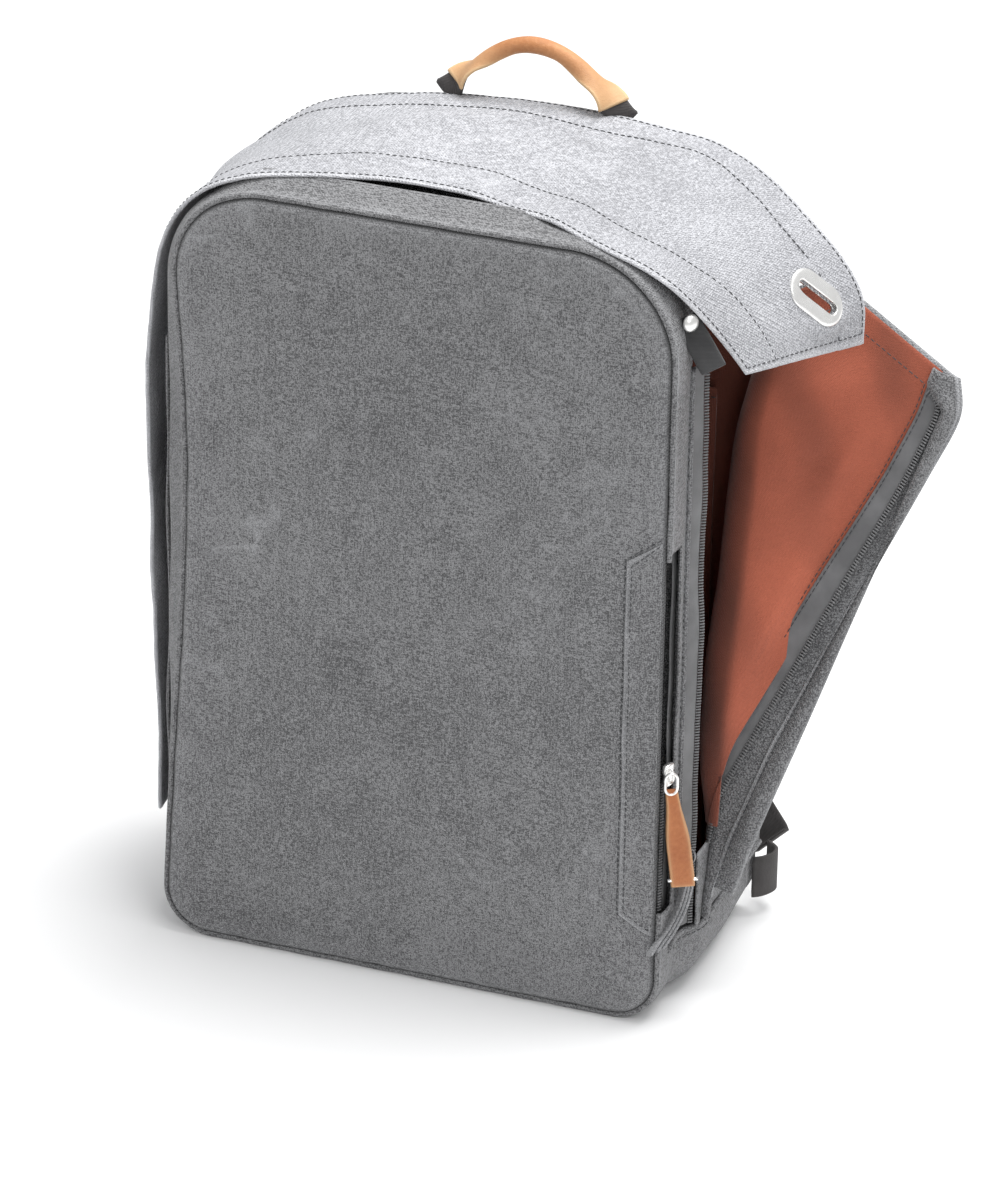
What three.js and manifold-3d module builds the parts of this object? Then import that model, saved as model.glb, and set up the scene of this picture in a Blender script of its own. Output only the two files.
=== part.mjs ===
// A canvas travel backpack that stands on its base with its side opening unzipped.
// Millimetres. +X to the wearer's right (the opened side), +Y towards the wearer's back, +Z up.
// The origin is the middle of the base, on the surface that it stands on.

import * as THREE from 'three';
import { mergeVertices } from 'three/addons/utils/BufferGeometryUtils.js';
import Module from 'manifold-3d';

const wasm = await Module();
wasm.setup();

// ---- Driving dimensions -------------------------------------------------------------------

const HEIGHT = 465; // front compartment, floor to top
const FRONT_HALF = 148; // half width of the front compartment
const MAIN_HALF = 156; // half width of the main compartment
const FRONT_Y = -75; // outer face of the front panel
const DIVIDER_Y = -47.7; // front face of the wall between the two compartments
const BACK_Y = 71; // inner face of the back panel
const WALL = 3; // lined canvas wall
const GAP = 0.3; // clearance between touching pieces
const BASE_TOP = 48; // seam between the base pan and the walls

const FRONT_TOP_RADIUS = 62;
const MAIN_TOP = 456; // top of the main compartment, under the lid
const MAIN_TOP_RADIUS = 105;
const BOTTOM_RADIUS = 28;
const SHOULDER_Z = 402; // where the side walls end and the top panel begins

const SIDE_OUT = 159; // outer face of the side panel and the leaf
const CANVAS = 2.6; // doubled canvas of the leaf
const LINING = 1.5;
const FOLD_LOW = new THREE.Vector2(-34, 52); // the leaf's fold line in (y, z)
const FOLD_HIGH = new THREE.Vector2(66, 390);
const FOLD_CLEARANCE = 5; // bare strip on each side of the fold line
const LEAF_OPEN = THREE.MathUtils.degToRad(90);

const SLIT_LOW = 68; // pocket slit
const SLIT_HIGH = 302;
const SLIT_Y = -57;

const LID = 2.5; // lid band thickness
const LID_FRONT_Y = -44;
const LID_BACK_Y = 70.5;
const FLAP_BACK_Y = 46; // back edge of the flap's free end
const SHOULDER_START = { front: 0.915, back: 0.85 }; // shares of the lid's two edges, front and back
const FLAP_START = { front: 0.945, back: 0.89 };
const FLAP_GAP = 0.003;
const FLAP_CLOSE = THREE.MathUtils.degToRad(28); // from the draped rest down over the lock
// Inside the shoulder, a little under its centre of curvature.
const CLOSE_CENTRE = new THREE.Vector3(100, LID_FRONT_Y, 392);
const CLOSE_AXIS = new THREE.Vector3(0, 1, -0.02).normalize();

const BODY_CHAIN_Y = -38.3; // middle of the body's half of the main zip
const HANDLE_X = 13;
const HANDLE_PIVOT_Z = 494;
const STRAP_X = 55;

const COLOURS = {
  canvas: 0x6f7173,
  canvas_light: 0x9b9da1,
  lining: 0x9c5138,
  lining_dark: 0x6b3a2a,
  tape: 0x4f5052,
  metal: 0xc9c9c6,
  dark_metal: 0x3f4042,
  leather: 0xc0824f,
  webbing: 0x3c3837,
  foam: 0x2f3032,
  board: 0x8a8474,
};

// ---- Small helpers ------------------------------------------------------------------------

const backpack = new THREE.Group();
backpack.name = 'travel_backpack';

function material(colour, metalness = 0) {
  const roughness = metalness > 0 ? 0.3 : 0.85;
  return new THREE.MeshStandardMaterial({ color: colour, roughness, metalness });
}

function add(name, geometry, colour, { metalness = 0, parent = backpack } = {}) {
  const mesh = new THREE.Mesh(geometry, material(colour, metalness));
  mesh.name = name;
  parent.add(mesh);
  return mesh;
}

function toSolid(geometry) {
  const bare = geometry.clone();
  bare.deleteAttribute('normal');
  bare.deleteAttribute('uv');
  const merged = mergeVertices(bare, 1e-3);
  return new wasm.Manifold(
    new wasm.Mesh({
      numProp: 3,
      vertProperties: Float32Array.from(merged.attributes.position.array),
      triVerts: Uint32Array.from(merged.index.array),
    }),
  );
}

function toGeometry(solid) {
  const mesh = solid.getMesh();
  const geometry = new THREE.BufferGeometry();
  geometry.setAttribute('position', new THREE.BufferAttribute(mesh.vertProperties, 3));
  geometry.setIndex(new THREE.BufferAttribute(mesh.triVerts, 1));
  geometry.computeVertexNormals();
  return geometry;
}

function cut(geometry, ...tools) {
  const solid = tools.reduce((rest, tool) => rest.subtract(toSolid(tool)), toSolid(geometry));
  return toGeometry(solid);
}

function keep(geometry, tool) {
  return toGeometry(toSolid(geometry).intersect(toSolid(tool)));
}

function join(...geometries) {
  const [first, ...rest] = geometries.map(toSolid);
  return toGeometry(rest.reduce((whole, piece) => whole.add(piece), first));
}

function box(low, high) {
  const size = high.map((value, axis) => value - low[axis]);
  const geometry = new THREE.BoxGeometry(...size);
  return geometry.translate(...low.map((value, axis) => value + size[axis] / 2));
}

// A shape drawn in (x, z), extruded along y.
function alongY(shape, front, back, curveSegments = 5) {
  const options = { depth: back - front, bevelEnabled: false, curveSegments };
  const geometry = new THREE.ExtrudeGeometry(shape, options);
  return geometry.rotateX(Math.PI / 2).translate(0, back, 0);
}

// A shape drawn in (y, z), extruded along x.
function alongX(shape, low, high, curveSegments = 5) {
  const options = { depth: high - low, bevelEnabled: false, curveSegments };
  const geometry = new THREE.ExtrudeGeometry(shape, options);
  const turn = new THREE.Matrix4().makeBasis(
    new THREE.Vector3(0, 1, 0),
    new THREE.Vector3(0, 0, 1),
    new THREE.Vector3(1, 0, 0),
  );
  return geometry.applyMatrix4(turn).translate(low, 0, 0);
}

// A shape drawn in (x, y), extruded along z.
function alongZ(shape, low, high, curveSegments = 5) {
  const options = { depth: high - low, bevelEnabled: false, curveSegments };
  return new THREE.ExtrudeGeometry(shape, options).translate(0, 0, low);
}

function polygon(points) {
  return new THREE.Shape(points.map(([x, y]) => new THREE.Vector2(x, y)));
}

// A rectangle with separate top and bottom corner radii.
function outline({ half, low, high, topRadius, bottomRadius }) {
  const shape = new THREE.Shape();
  const quarter = Math.PI / 2;
  shape.absarc(half - bottomRadius, low + bottomRadius, bottomRadius, -quarter, 0, false);
  shape.absarc(half - topRadius, high - topRadius, topRadius, 0, quarter, false);
  shape.absarc(topRadius - half, high - topRadius, topRadius, quarter, 2 * quarter, false);
  shape.absarc(bottomRadius - half, low + bottomRadius, bottomRadius, 2 * quarter, 3 * quarter, false);
  return shape;
}

function inset({ half, low, high, topRadius, bottomRadius }, by) {
  return outline({
    half: half - by,
    low: low + by,
    high: high - by,
    topRadius: topRadius - by,
    bottomRadius: bottomRadius - by,
  });
}

function ring(size, wall) {
  const shape = outline(size);
  shape.holes.push(inset(size, wall));
  return shape;
}

function stadium(length, width) {
  const shape = new THREE.Shape();
  const radius = width / 2;
  const reach = (length - width) / 2;
  shape.absarc(reach, 0, radius, -Math.PI / 2, Math.PI / 2, false);
  shape.absarc(-reach, 0, radius, Math.PI / 2, 1.5 * Math.PI, false);
  return shape;
}

// Offsets a path of (a, b) points to both sides, giving the outline of a strip.
function strip(points, thickness) {
  const curve = new THREE.SplineCurve(points.map(([a, b]) => new THREE.Vector2(a, b)));
  const steps = (points.length - 1) * 2;
  const left = [];
  const right = [];
  for (let i = 0; i <= steps; i += 1) {
    const point = curve.getPoint(i / steps);
    const along = curve.getTangent(i / steps);
    const across = new THREE.Vector2(-along.y, along.x).multiplyScalar(thickness / 2);
    left.push(point.clone().add(across));
    right.unshift(point.clone().sub(across));
  }
  return new THREE.Shape([...right, ...left]);
}

// A closed sheet of the given thickness between two curves, each a function of t in 0..1.
function sheetBetween(edgeA, edgeB, steps, rows, thickness) {
  const middle = (i, j) => edgeA(i / steps).lerp(edgeB(i / steps), j / rows);
  const positions = [];
  const index = [];
  const clamp = (value, high) => Math.min(Math.max(value, 0), high);
  for (const side of [0.5, -0.5]) {
    for (let i = 0; i <= steps; i += 1) {
      for (let j = 0; j <= rows; j += 1) {
        const along = middle(clamp(i + 1, steps), j).sub(middle(clamp(i - 1, steps), j));
        const across = middle(i, clamp(j + 1, rows)).sub(middle(i, clamp(j - 1, rows)));
        const normal = along.cross(across).normalize();
        const point = middle(i, j).addScaledVector(normal, side * thickness);
        positions.push(point.x, point.y, point.z);
      }
    }
  }
  const at = (side, i, j) => side * (steps + 1) * (rows + 1) + i * (rows + 1) + j;
  const quad = (a, b, c, d) => index.push(a, b, c, a, c, d);
  for (let i = 0; i < steps; i += 1) {
    for (let j = 0; j < rows; j += 1) {
      quad(at(0, i, j), at(0, i + 1, j), at(0, i + 1, j + 1), at(0, i, j + 1));
      quad(at(1, i, j), at(1, i, j + 1), at(1, i + 1, j + 1), at(1, i + 1, j));
    }
  }
  for (let i = 0; i < steps; i += 1) {
    quad(at(0, i, 0), at(1, i, 0), at(1, i + 1, 0), at(0, i + 1, 0));
    quad(at(0, i + 1, rows), at(1, i + 1, rows), at(1, i, rows), at(0, i, rows));
  }
  for (let j = 0; j < rows; j += 1) {
    quad(at(0, 0, j + 1), at(1, 0, j + 1), at(1, 0, j), at(0, 0, j));
    quad(at(0, steps, j), at(1, steps, j), at(1, steps, j + 1), at(0, steps, j + 1));
  }
  const geometry = new THREE.BufferGeometry();
  geometry.setAttribute('position', new THREE.Float32BufferAttribute(positions, 3));
  geometry.setIndex(index);
  geometry.computeVertexNormals();
  return geometry;
}

// ---- Front compartment --------------------------------------------------------------------

const frontSize = {
  half: FRONT_HALF,
  low: 0,
  high: HEIGHT,
  topRadius: FRONT_TOP_RADIUS,
  bottomRadius: BOTTOM_RADIUS,
};

function frontPanel() {
  return alongY(inset(frontSize, 5), FRONT_Y, FRONT_Y + 6);
}

function frontPiping() {
  const shape = inset(frontSize, 0.7);
  shape.holes.push(inset(frontSize, 4.4));
  return alongY(shape, FRONT_Y + 1, FRONT_Y + 5.5);
}

function frontGusset() {
  const band = alongY(ring(frontSize, WALL), FRONT_Y + 6 + GAP, DIVIDER_Y - GAP);
  return cut(band, box([130, FRONT_Y, SLIT_LOW], [160, SLIT_Y, SLIT_HIGH]));
}

function pocketWelt() {
  const slope = 8;
  const inner = 125;
  const outer = 141;
  const shape = polygon([
    [outer, SLIT_LOW - slope],
    [outer, SLIT_HIGH + slope],
    [inner, SLIT_HIGH],
    [inner, SLIT_LOW],
  ]);
  return alongY(shape, FRONT_Y - 1.3, FRONT_Y - GAP);
}

const pocketTapeFront = box([131, -68.7, SLIT_LOW - 3], [142, -67.7, SLIT_HIGH + 3]);
const pocketTapeRear = box([143.4, SLIT_Y + GAP, SLIT_LOW - 3], [144.7, DIVIDER_Y - 1, SLIT_HIGH + 3]);
const pocketChain = box([142.3, -64, SLIT_LOW], [144.8, -61, 148]);
const pocketSlider = box([145.3, -67, 148], [148.6, -59.2, 160]);

function pocketRing() {
  const shape = stadium(13, 8);
  shape.holes.push(stadium(9, 4));
  return alongZ(shape, -0.8, 0.8, 3);
}

function leatherPuller() {
  const length = 62;
  const shape = polygon([
    [-3.5, 0],
    [3.5, 0],
    [6, -14],
    [6, -length],
    [-6, -length],
    [-6, -14],
  ]);
  return alongY(shape, -1.6, 1.6);
}

add('front_panel', frontPanel(), COLOURS.canvas);
add('front_piping', frontPiping(), COLOURS.canvas);
add('front_gusset', frontGusset(), COLOURS.canvas);
add('pocket_welt', pocketWelt(), COLOURS.canvas);
add('pocket_zip_tape_front', pocketTapeFront, COLOURS.tape);
add('pocket_zip_tape_rear', pocketTapeRear, COLOURS.tape);
add('pocket_zip_chain', pocketChain, COLOURS.dark_metal);
add('pocket_slider', pocketSlider, COLOURS.metal, { metalness: 1 });

const pullerHang = new THREE.Group();
pullerHang.position.set(152.6, -66, 154);
pullerHang.rotation.z = THREE.MathUtils.degToRad(30);
backpack.add(pullerHang);
const ringMesh = add('pocket_ring', pocketRing(), COLOURS.metal, { metalness: 1, parent: pullerHang });
ringMesh.rotation.set(Math.PI / 2, 0, 0);
ringMesh.position.set(0.8, 0, -3);
const pullerMesh = add('leather_puller', leatherPuller(), COLOURS.leather, { parent: pullerHang });
pullerMesh.position.set(3.4, 0, -8);

// ---- Main compartment ---------------------------------------------------------------------

const mainSize = {
  half: MAIN_HALF,
  low: 0,
  high: MAIN_TOP,
  topRadius: MAIN_TOP_RADIUS,
  bottomRadius: BOTTOM_RADIUS,
};
const MAIN_FRONT_Y = DIVIDER_Y + 2.7;
const wallRing = alongY(ring(mainSize, WALL), MAIN_FRONT_Y, BACK_Y - GAP);
const wide = MAIN_HALF + 20;

add(
  'divider_panel',
  alongY(outline(frontSize), DIVIDER_Y, MAIN_FRONT_Y - GAP),
  COLOURS.canvas,
);
add(
  'divider_lining',
  alongY(inset(mainSize, 12), MAIN_FRONT_Y, MAIN_FRONT_Y + 1),
  COLOURS.lining_dark,
);
add('left_wall', box([-MAIN_HALF, MAIN_FRONT_Y, BASE_TOP + GAP], [WALL - MAIN_HALF, BACK_Y - GAP, 356.7]),
  COLOURS.canvas);
add('base_panel', keep(wallRing, box([-wide, -90, -10], [wide, 90, BASE_TOP])), COLOURS.canvas);
add(
  'top_panel',
  cut(
    keep(wallRing, box([-wide, -90, 357], [wide, 90, 500])),
    box([100, -90, 300], [wide, 90, SHOULDER_Z]),
  ),
  COLOURS.canvas,
);
add('base_board', box([-128, MAIN_FRONT_Y + 3, WALL + GAP], [128, 48, WALL + 2.5]), COLOURS.board);

// ---- Back panel, foam and laptop sleeve ---------------------------------------------------

const backSize = { ...mainSize, high: 476, topRadius: 108 };

function laptopSleeve() {
  const outer = box([-128, 52, 8], [128, 63.5, 330]);
  return cut(outer, box([-125.5, 54.5, 10.5], [125.5, 65, 340]));
}

function backPanel() {
  return alongY(outline(backSize), BACK_Y, BACK_Y + 6);
}

add('laptop_sleeve', laptopSleeve(), COLOURS.lining_dark);
add('back_lining', alongY(inset(mainSize, 3.5), 63.8, 65), COLOURS.lining_dark);
add('back_foam', alongY(inset(mainSize, 4), 65.3, BACK_Y - GAP), COLOURS.foam);
add('back_panel', backPanel(), COLOURS.canvas);

// ---- Side panel and the leaf that folds open ----------------------------------------------

const foldDirection = FOLD_HIGH.clone().sub(FOLD_LOW).normalize();
const foldAcross = new THREE.Vector2(foldDirection.y, -foldDirection.x); // towards the wearer
const canvasIn = SIDE_OUT - CANVAS;
const liningOut = canvasIn - GAP;

// A point beside the fold line: along it, and across it towards the wearer.
function besideFold(end, across) {
  return [end.x + foldAcross.x * across, end.y + foldAcross.y * across];
}

const sidePanelShape = polygon([
  [FOLD_LOW.x + 6, BASE_TOP - 6],
  [BACK_Y - GAP, BASE_TOP - 6],
  [BACK_Y - GAP, 384],
  besideFold(FOLD_HIGH, FOLD_CLEARANCE - 0.7),
  besideFold(FOLD_LOW, FOLD_CLEARANCE),
]);
const sideLiningShape = polygon([
  [FOLD_LOW.x + 8, BASE_TOP + 2],
  [BACK_Y - 2, BASE_TOP + 2],
  [BACK_Y - 2, 370],
  besideFold(FOLD_LOW, FOLD_CLEARANCE + 2),
]);

add('side_panel', alongX(sidePanelShape, canvasIn, SIDE_OUT), COLOURS.canvas);
add('side_lining', alongX(sideLiningShape, MAIN_HALF - 1.4, liningOut), COLOURS.lining);

const leaf = new THREE.Group();
const foldPoint = new THREE.Vector3(liningOut, FOLD_LOW.x, FOLD_LOW.y);
const foldAxis = new THREE.Vector3(0, foldDirection.x, foldDirection.y);
leaf.position.copy(foldPoint);
leaf.quaternion.setFromAxisAngle(foldAxis, LEAF_OPEN);
backpack.add(leaf);

// Leaf pieces are drawn closed, flat against the side, and then carried open with the group.
function addLeaf(name, geometry, colour, metalness = 0) {
  const local = geometry.translate(-foldPoint.x, -foldPoint.y, -foldPoint.z);
  return add(name, local, colour, { metalness, parent: leaf });
}

const TIP = [-52, 397];
const LEAF_HEM = [
  [-46, 388],
  [-32, 383],
  [0, 381],
  [30, 386],
  [50, 404],
];
const LEAF_CHAIN_Y = -33;

const leafShape = polygon([
  [FOLD_LOW.x - 8, FOLD_LOW.y],
  besideFold(FOLD_LOW, -FOLD_CLEARANCE),
  besideFold(FOLD_HIGH, -FOLD_CLEARANCE),
  ...LEAF_HEM.slice().reverse(),
  TIP,
]);
const leafLiningShape = polygon([
  [LEAF_CHAIN_Y + 14, 118],
  besideFold(new THREE.Vector2(FOLD_HIGH.x - 4, FOLD_HIGH.y - 12), -FOLD_CLEARANCE - 3),
  [30, 377],
  [0, 374],
  [LEAF_CHAIN_Y + 14, 375],
]);

addLeaf('side_leaf', alongX(leafShape, canvasIn, SIDE_OUT), COLOURS.canvas);
addLeaf('leaf_lining', alongX(leafLiningShape, liningOut - LINING, liningOut), COLOURS.lining);
addLeaf(
  'leaf_zip_tape',
  box([liningOut - LINING, LEAF_CHAIN_Y + 1.6, 80], [liningOut, LEAF_CHAIN_Y + 13.7, 375]),
  COLOURS.tape,
);
addLeaf(
  'leaf_zip_chain',
  box([liningOut - 3, LEAF_CHAIN_Y - 1.4, 66], [liningOut, LEAF_CHAIN_Y + 1.3, 379]),
  COLOURS.dark_metal,
);

// ---- Main zip on the body -----------------------------------------------------------------

add(
  'body_zip_tape',
  box([149, DIVIDER_Y, 50], [150.5, BODY_CHAIN_Y - 1.7, 392]),
  COLOURS.tape,
);
add(
  'body_zip_chain',
  box([148.4, BODY_CHAIN_Y - 1.4, 50], [151.1, BODY_CHAIN_Y + 1.4, 392]),
  COLOURS.dark_metal,
);
add(
  'main_slider',
  box([151.4, BODY_CHAIN_Y - 4, 86], [153.2, BODY_CHAIN_Y + 3.2, 98]),
  COLOURS.metal,
  { metalness: 1 },
);

function mainPuller() {
  const shape = stadium(24, 9);
  shape.holes.push(stadium(19, 4.6));
  return alongX(shape, -0.5, 0.5, 4);
}

const mainPullerMesh = add('main_puller', mainPuller(), COLOURS.dark_metal, { metalness: 1 });
mainPullerMesh.rotation.x = Math.PI / 2;
mainPullerMesh.position.set(154.2, BODY_CHAIN_Y - 1.2, 79);

// The folded canvas tab that covers the bottom end of the zip.
function zipEndTab() {
  return alongX(strip([[-47, 84], [-54, 66], [-60, 52], [-52, 50], [-45.5, 62]], 2.4), 151, 157.5);
}

add('zip_end_tab', zipEndTab(), COLOURS.canvas);

// ---- Lid band, flap and turn-lock eyelet --------------------------------------------------

const lidFrontCurve = new THREE.CatmullRomCurve3(
  [
    [-159.5, 60], [-163, 200], [-167, 320], [-164, 385], [-152, 425], [-128, 448], [-104, 461],
    [-70, 468], [-37, 471], [16, 471], [45, 467], [70, 461], [94, 452], [118, 443], [137, 432],
    [152, 420], [167, 405], [177, 394],
  ].map(([x, z]) => new THREE.Vector3(x, LID_FRONT_Y, z)),
);
// The lid's back edge is sewn into the back seam, and leaves it where the flap begins.
function lidBackY(x) {
  const free = THREE.MathUtils.smoothstep(x, 116, 185);
  return THREE.MathUtils.lerp(LID_BACK_Y, FLAP_BACK_Y, free);
}

const lidBackCurve = new THREE.CatmullRomCurve3(
  [
    [-160, 60], [-160, 200], [-160, 330], [-158, 372], [-147, 425], [-123, 451], [-96, 466],
    [-55, 477], [-30, 480], [20, 481.5], [72, 481], [96, 477.5], [118, 471], [147, 457],
    [170, 441], [188, 420], [204, 403], [212.5, 378],
  ].map(([x, z]) => new THREE.Vector3(x, lidBackY(x), z)),
);

// The lid sheet between two stations; each station is a pair of shares along its two edges.
function lidPart(from, to, steps, rows) {
  const share = (edge, t) => from[edge] + (to[edge] - from[edge]) * t;
  const front = (t) => lidFrontCurve.getPointAt(share('front', t));
  const back = (t) => lidBackCurve.getPointAt(share('back', t));
  return sheetBetween(front, back, steps, rows, LID);
}

const lidStart = { front: 0, back: 0 };
const lidEnd = { front: SHOULDER_START.front - FLAP_GAP, back: SHOULDER_START.back - FLAP_GAP };
const shoulderEnd = { front: FLAP_START.front - FLAP_GAP, back: FLAP_START.back - FLAP_GAP };
const flapStart = { front: FLAP_START.front + FLAP_GAP, back: FLAP_START.back + FLAP_GAP };
const flapEnd = { front: 1, back: 1 };
const flapHinge = {
  point: lidFrontCurve.getPointAt(FLAP_START.front),
  far: lidBackCurve.getPointAt(FLAP_START.back),
};
flapHinge.axis = flapHinge.far.clone().sub(flapHinge.point).normalize();

// A frame on the flap: origin in the sheet, x along the flap, z out of its upper face.
function flapFrame(share, across) {
  const at = (s, a) => lidFrontCurve.getPointAt(s).lerp(lidBackCurve.getPointAt(s), a);
  const origin = at(share, across);
  const along = at(share + 0.01, across).sub(at(share - 0.01, across)).normalize();
  const side = at(share, across + 0.02).sub(at(share, across - 0.02));
  const normal = along.clone().cross(side).normalize();
  const square = normal.clone().cross(along);
  return new THREE.Matrix4().makeBasis(along, square, normal).setPosition(origin);
}

const eyeletFrame = flapFrame(0.96, 0.71);
const EYELET = { length: 38, width: 22, slotLength: 28, slotWidth: 8 };

function eyeletRing(low, high, grow = 0) {
  const shape = stadium(EYELET.length + 2 * grow, EYELET.width + 2 * grow);
  if (grow === 0) shape.holes.push(stadium(EYELET.slotLength, EYELET.slotWidth));
  return alongZ(shape, low, high, 6).applyMatrix4(eyeletFrame);
}

const slotTool = alongZ(stadium(EYELET.slotLength, EYELET.slotWidth), -8, 8, 6).applyMatrix4(eyeletFrame);
const flap = cut(
  lidPart(flapStart, flapEnd, 8, 4),
  slotTool,
  eyeletRing(0.6, 6, GAP),
  eyeletRing(-6, -0.7, GAP),
);

add('lid_band', lidPart(lidStart, lidEnd, 26, 2), COLOURS.canvas_light);
add('flap_shoulder', lidPart(SHOULDER_START, shoulderEnd, 2, 2), COLOURS.canvas_light);
add('flap_tail', flap, COLOURS.canvas_light);
add('slot_eyelet_front', eyeletRing(0.9, 2.9), COLOURS.metal, { metalness: 1 });
add('slot_eyelet_back', eyeletRing(-2.6, -1), COLOURS.metal, { metalness: 1 });

// The webbing tab that stands out from its rivet, in front of the flap and the closed leaf.
const tabPath = [[145, 431], [154, 417], [166, 398]];
add('closure_tab', alongY(strip(tabPath, 2), -66, -53), COLOURS.tape);

function rivet() {
  const radius = 4.6;
  const height = 2.6;
  const dome = [0, 1, 2, 3].map((i) => {
    const angle = (i * Math.PI) / 6;
    return new THREE.Vector2(radius * Math.cos(angle), height * Math.sin(angle));
  });
  return new THREE.LatheGeometry([new THREE.Vector2(0, 0), ...dome], 12);
}

const rivetMesh = add('tab_rivet', rivet(), COLOURS.metal, { metalness: 1 });
rivetMesh.rotation.set(0, 0, THREE.MathUtils.degToRad(-90));
rivetMesh.rotation.order = 'YZX';
rivetMesh.rotation.y = THREE.MathUtils.degToRad(-33);
rivetMesh.position.set(150.8, -59.5, 425.4);

// ---- Turn lock on the leaf ----------------------------------------------------------------

// The lock stands under the place that the closed flap brings its slot to. The flap is pressed
// the last stretch onto it by hand.
const closedSlot = new THREE.Vector3()
  .setFromMatrixPosition(eyeletFrame)
  .sub(CLOSE_CENTRE)
  .applyAxisAngle(CLOSE_AXIS, FLAP_CLOSE)
  .add(CLOSE_CENTRE);
const LOCK = {
  plateLength: 30,
  plateWidth: 18,
  plate: 1.6,
  stem: 5,
  stemLength: 7,
  headLength: 19,
  headWidth: 6,
  head: 4,
};
const LOCK_DROP = 11; // lower than the slot, because the pressed canvas hangs lower
const lockX = SIDE_OUT + GAP;

// Local x runs up the side, local z points out of it.
const lockFrame = new THREE.Matrix4()
  .makeBasis(new THREE.Vector3(0, 0, 1), new THREE.Vector3(0, 1, 0), new THREE.Vector3(-1, 0, 0))
  .multiply(new THREE.Matrix4().makeRotationX(Math.PI))
  .setPosition(lockX, closedSlot.y, closedSlot.z - LOCK_DROP);

function lockPlate() {
  const plate = stadium(LOCK.plateLength, LOCK.plateWidth);
  return alongZ(plate, 0, LOCK.plate, 5).applyMatrix4(lockFrame);
}

function lockKnob() {
  const foot = LOCK.plate + GAP;
  const stem = new THREE.CylinderGeometry(LOCK.stem / 2, LOCK.stem / 2, LOCK.stemLength + 1, 12);
  stem.rotateX(Math.PI / 2).translate(0, 0, foot + (LOCK.stemLength + 1) / 2);
  const headLow = foot + LOCK.stemLength;
  const head = alongZ(stadium(LOCK.headLength, LOCK.headWidth), headLow, headLow + LOCK.head, 5);
  return join(stem, head).applyMatrix4(lockFrame);
}

addLeaf('turn_lock_plate', lockPlate(), COLOURS.metal, 1);
addLeaf('turn_lock_knob', lockKnob(), COLOURS.metal, 1);

// ---- Handle -------------------------------------------------------------------------------

const HANDLE = { low: 62, high: 82, webbing: 2.4, leather: 2.2, reach: 54, rise: 16 };

// Half an ellipse over the pivot, from one foot to the other.
function handleArc(from, to, grow) {
  const count = 9;
  return Array.from({ length: count }, (_, i) => {
    const angle = THREE.MathUtils.degToRad(from + ((to - from) * i) / (count - 1));
    const x = HANDLE_X - (HANDLE.reach + grow) * Math.cos(angle);
    return [x, HANDLE_PIVOT_Z + (HANDLE.rise + grow) * Math.sin(angle)];
  });
}

const handleStrap = alongY(strip(handleArc(2, 178, 0), HANDLE.webbing), HANDLE.low, HANDLE.high);
const gripOffset = (HANDLE.webbing + HANDLE.leather) / 2 + 3 * GAP;
const gripTop = strip(handleArc(24, 156, gripOffset), HANDLE.leather);
const gripUnder = strip(handleArc(24, 156, -gripOffset), HANDLE.leather);

add('handle_strap', handleStrap, COLOURS.webbing);
add('handle_grip', alongY(gripTop, HANDLE.low - 2, HANDLE.high + 2), COLOURS.leather);
add('handle_grip_lining', alongY(gripUnder, HANDLE.low - 2, HANDLE.high + 2), COLOURS.leather);

// The webbing's sewn end stands outside the handle's foot, up from the back seam.
function handleFoot(side) {
  const inner = HANDLE_X + side * (HANDLE.reach + 3);
  const outer = inner + side * 2.4;
  const lowX = Math.min(inner, outer);
  return box([lowX, BACK_Y + GAP, backSize.high + 0.4], [lowX + 2.4, BACK_Y + 5.5, HANDLE_PIVOT_Z + 3]);
}

add('handle_foot_left', handleFoot(-1), COLOURS.webbing);
add('handle_foot_right', handleFoot(1), COLOURS.webbing);

// ---- Shoulder straps ----------------------------------------------------------------------

const STRAP = { half: 30, thickness: 10, topZ: 442, buckleZ: 172, webbing: 25 };
const YOKE = { half: 92, low: 392, high: 450 };
const backFace = BACK_Y + 6 + GAP;
const ANCHOR = new THREE.Vector3(157, 90, 42);

function strapPad(side) {
  const path = [[97, STRAP.topZ], [109, 400], [121, 335], [120, 265], [108, 205], [98, STRAP.buckleZ]];
  const middle = side * STRAP_X;
  return alongX(strip(path, STRAP.thickness), middle - STRAP.half, middle + STRAP.half);
}

function strapRoot(side) {
  const middle = side * STRAP_X;
  return box([middle - 20, backFace + 2.3, 424], [middle + 20, backFace + 6.5, STRAP.topZ + 3]);
}

function strapBuckle(side) {
  const plate = polygon([[-19, 0], [19, 0], [17, -23], [-17, -23]]);
  for (const z of [-8, -17]) {
    plate.holes.push(new THREE.Path([
      new THREE.Vector2(-13.5, z - 2), new THREE.Vector2(13.5, z - 2),
      new THREE.Vector2(13.5, z + 2), new THREE.Vector2(-13.5, z + 2),
    ]));
  }
  return alongY(plate, 95.5, 100.5).translate(side * STRAP_X, 0, STRAP.buckleZ - 4);
}

// The strap's webbing runs from the buckle down to the anchor at the base's back corner.
function strapWebbing(side) {
  const start = new THREE.Vector3(side * STRAP_X, 98, STRAP.buckleZ - 28);
  const middle = new THREE.Vector3(side * 112, 106, 86);
  const end = new THREE.Vector3(side * ANCHOR.x, ANCHOR.y, ANCHOR.z);
  const level = new THREE.Vector3(STRAP.webbing / 2, 0, 0);
  const slant = new THREE.Vector3(0.707, 0, side * 0.707).multiplyScalar(STRAP.webbing / 2);
  const edge = (sign) => {
    const points = [
      start.clone().addScaledVector(level, sign),
      middle.clone().addScaledVector(slant, sign),
      end.clone().addScaledVector(slant, sign),
    ];
    const curve = new THREE.CatmullRomCurve3(points);
    return (t) => curve.getPoint(t);
  };
  return sheetBetween(edge(-1), edge(1), 8, 1, 1.8);
}

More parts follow.
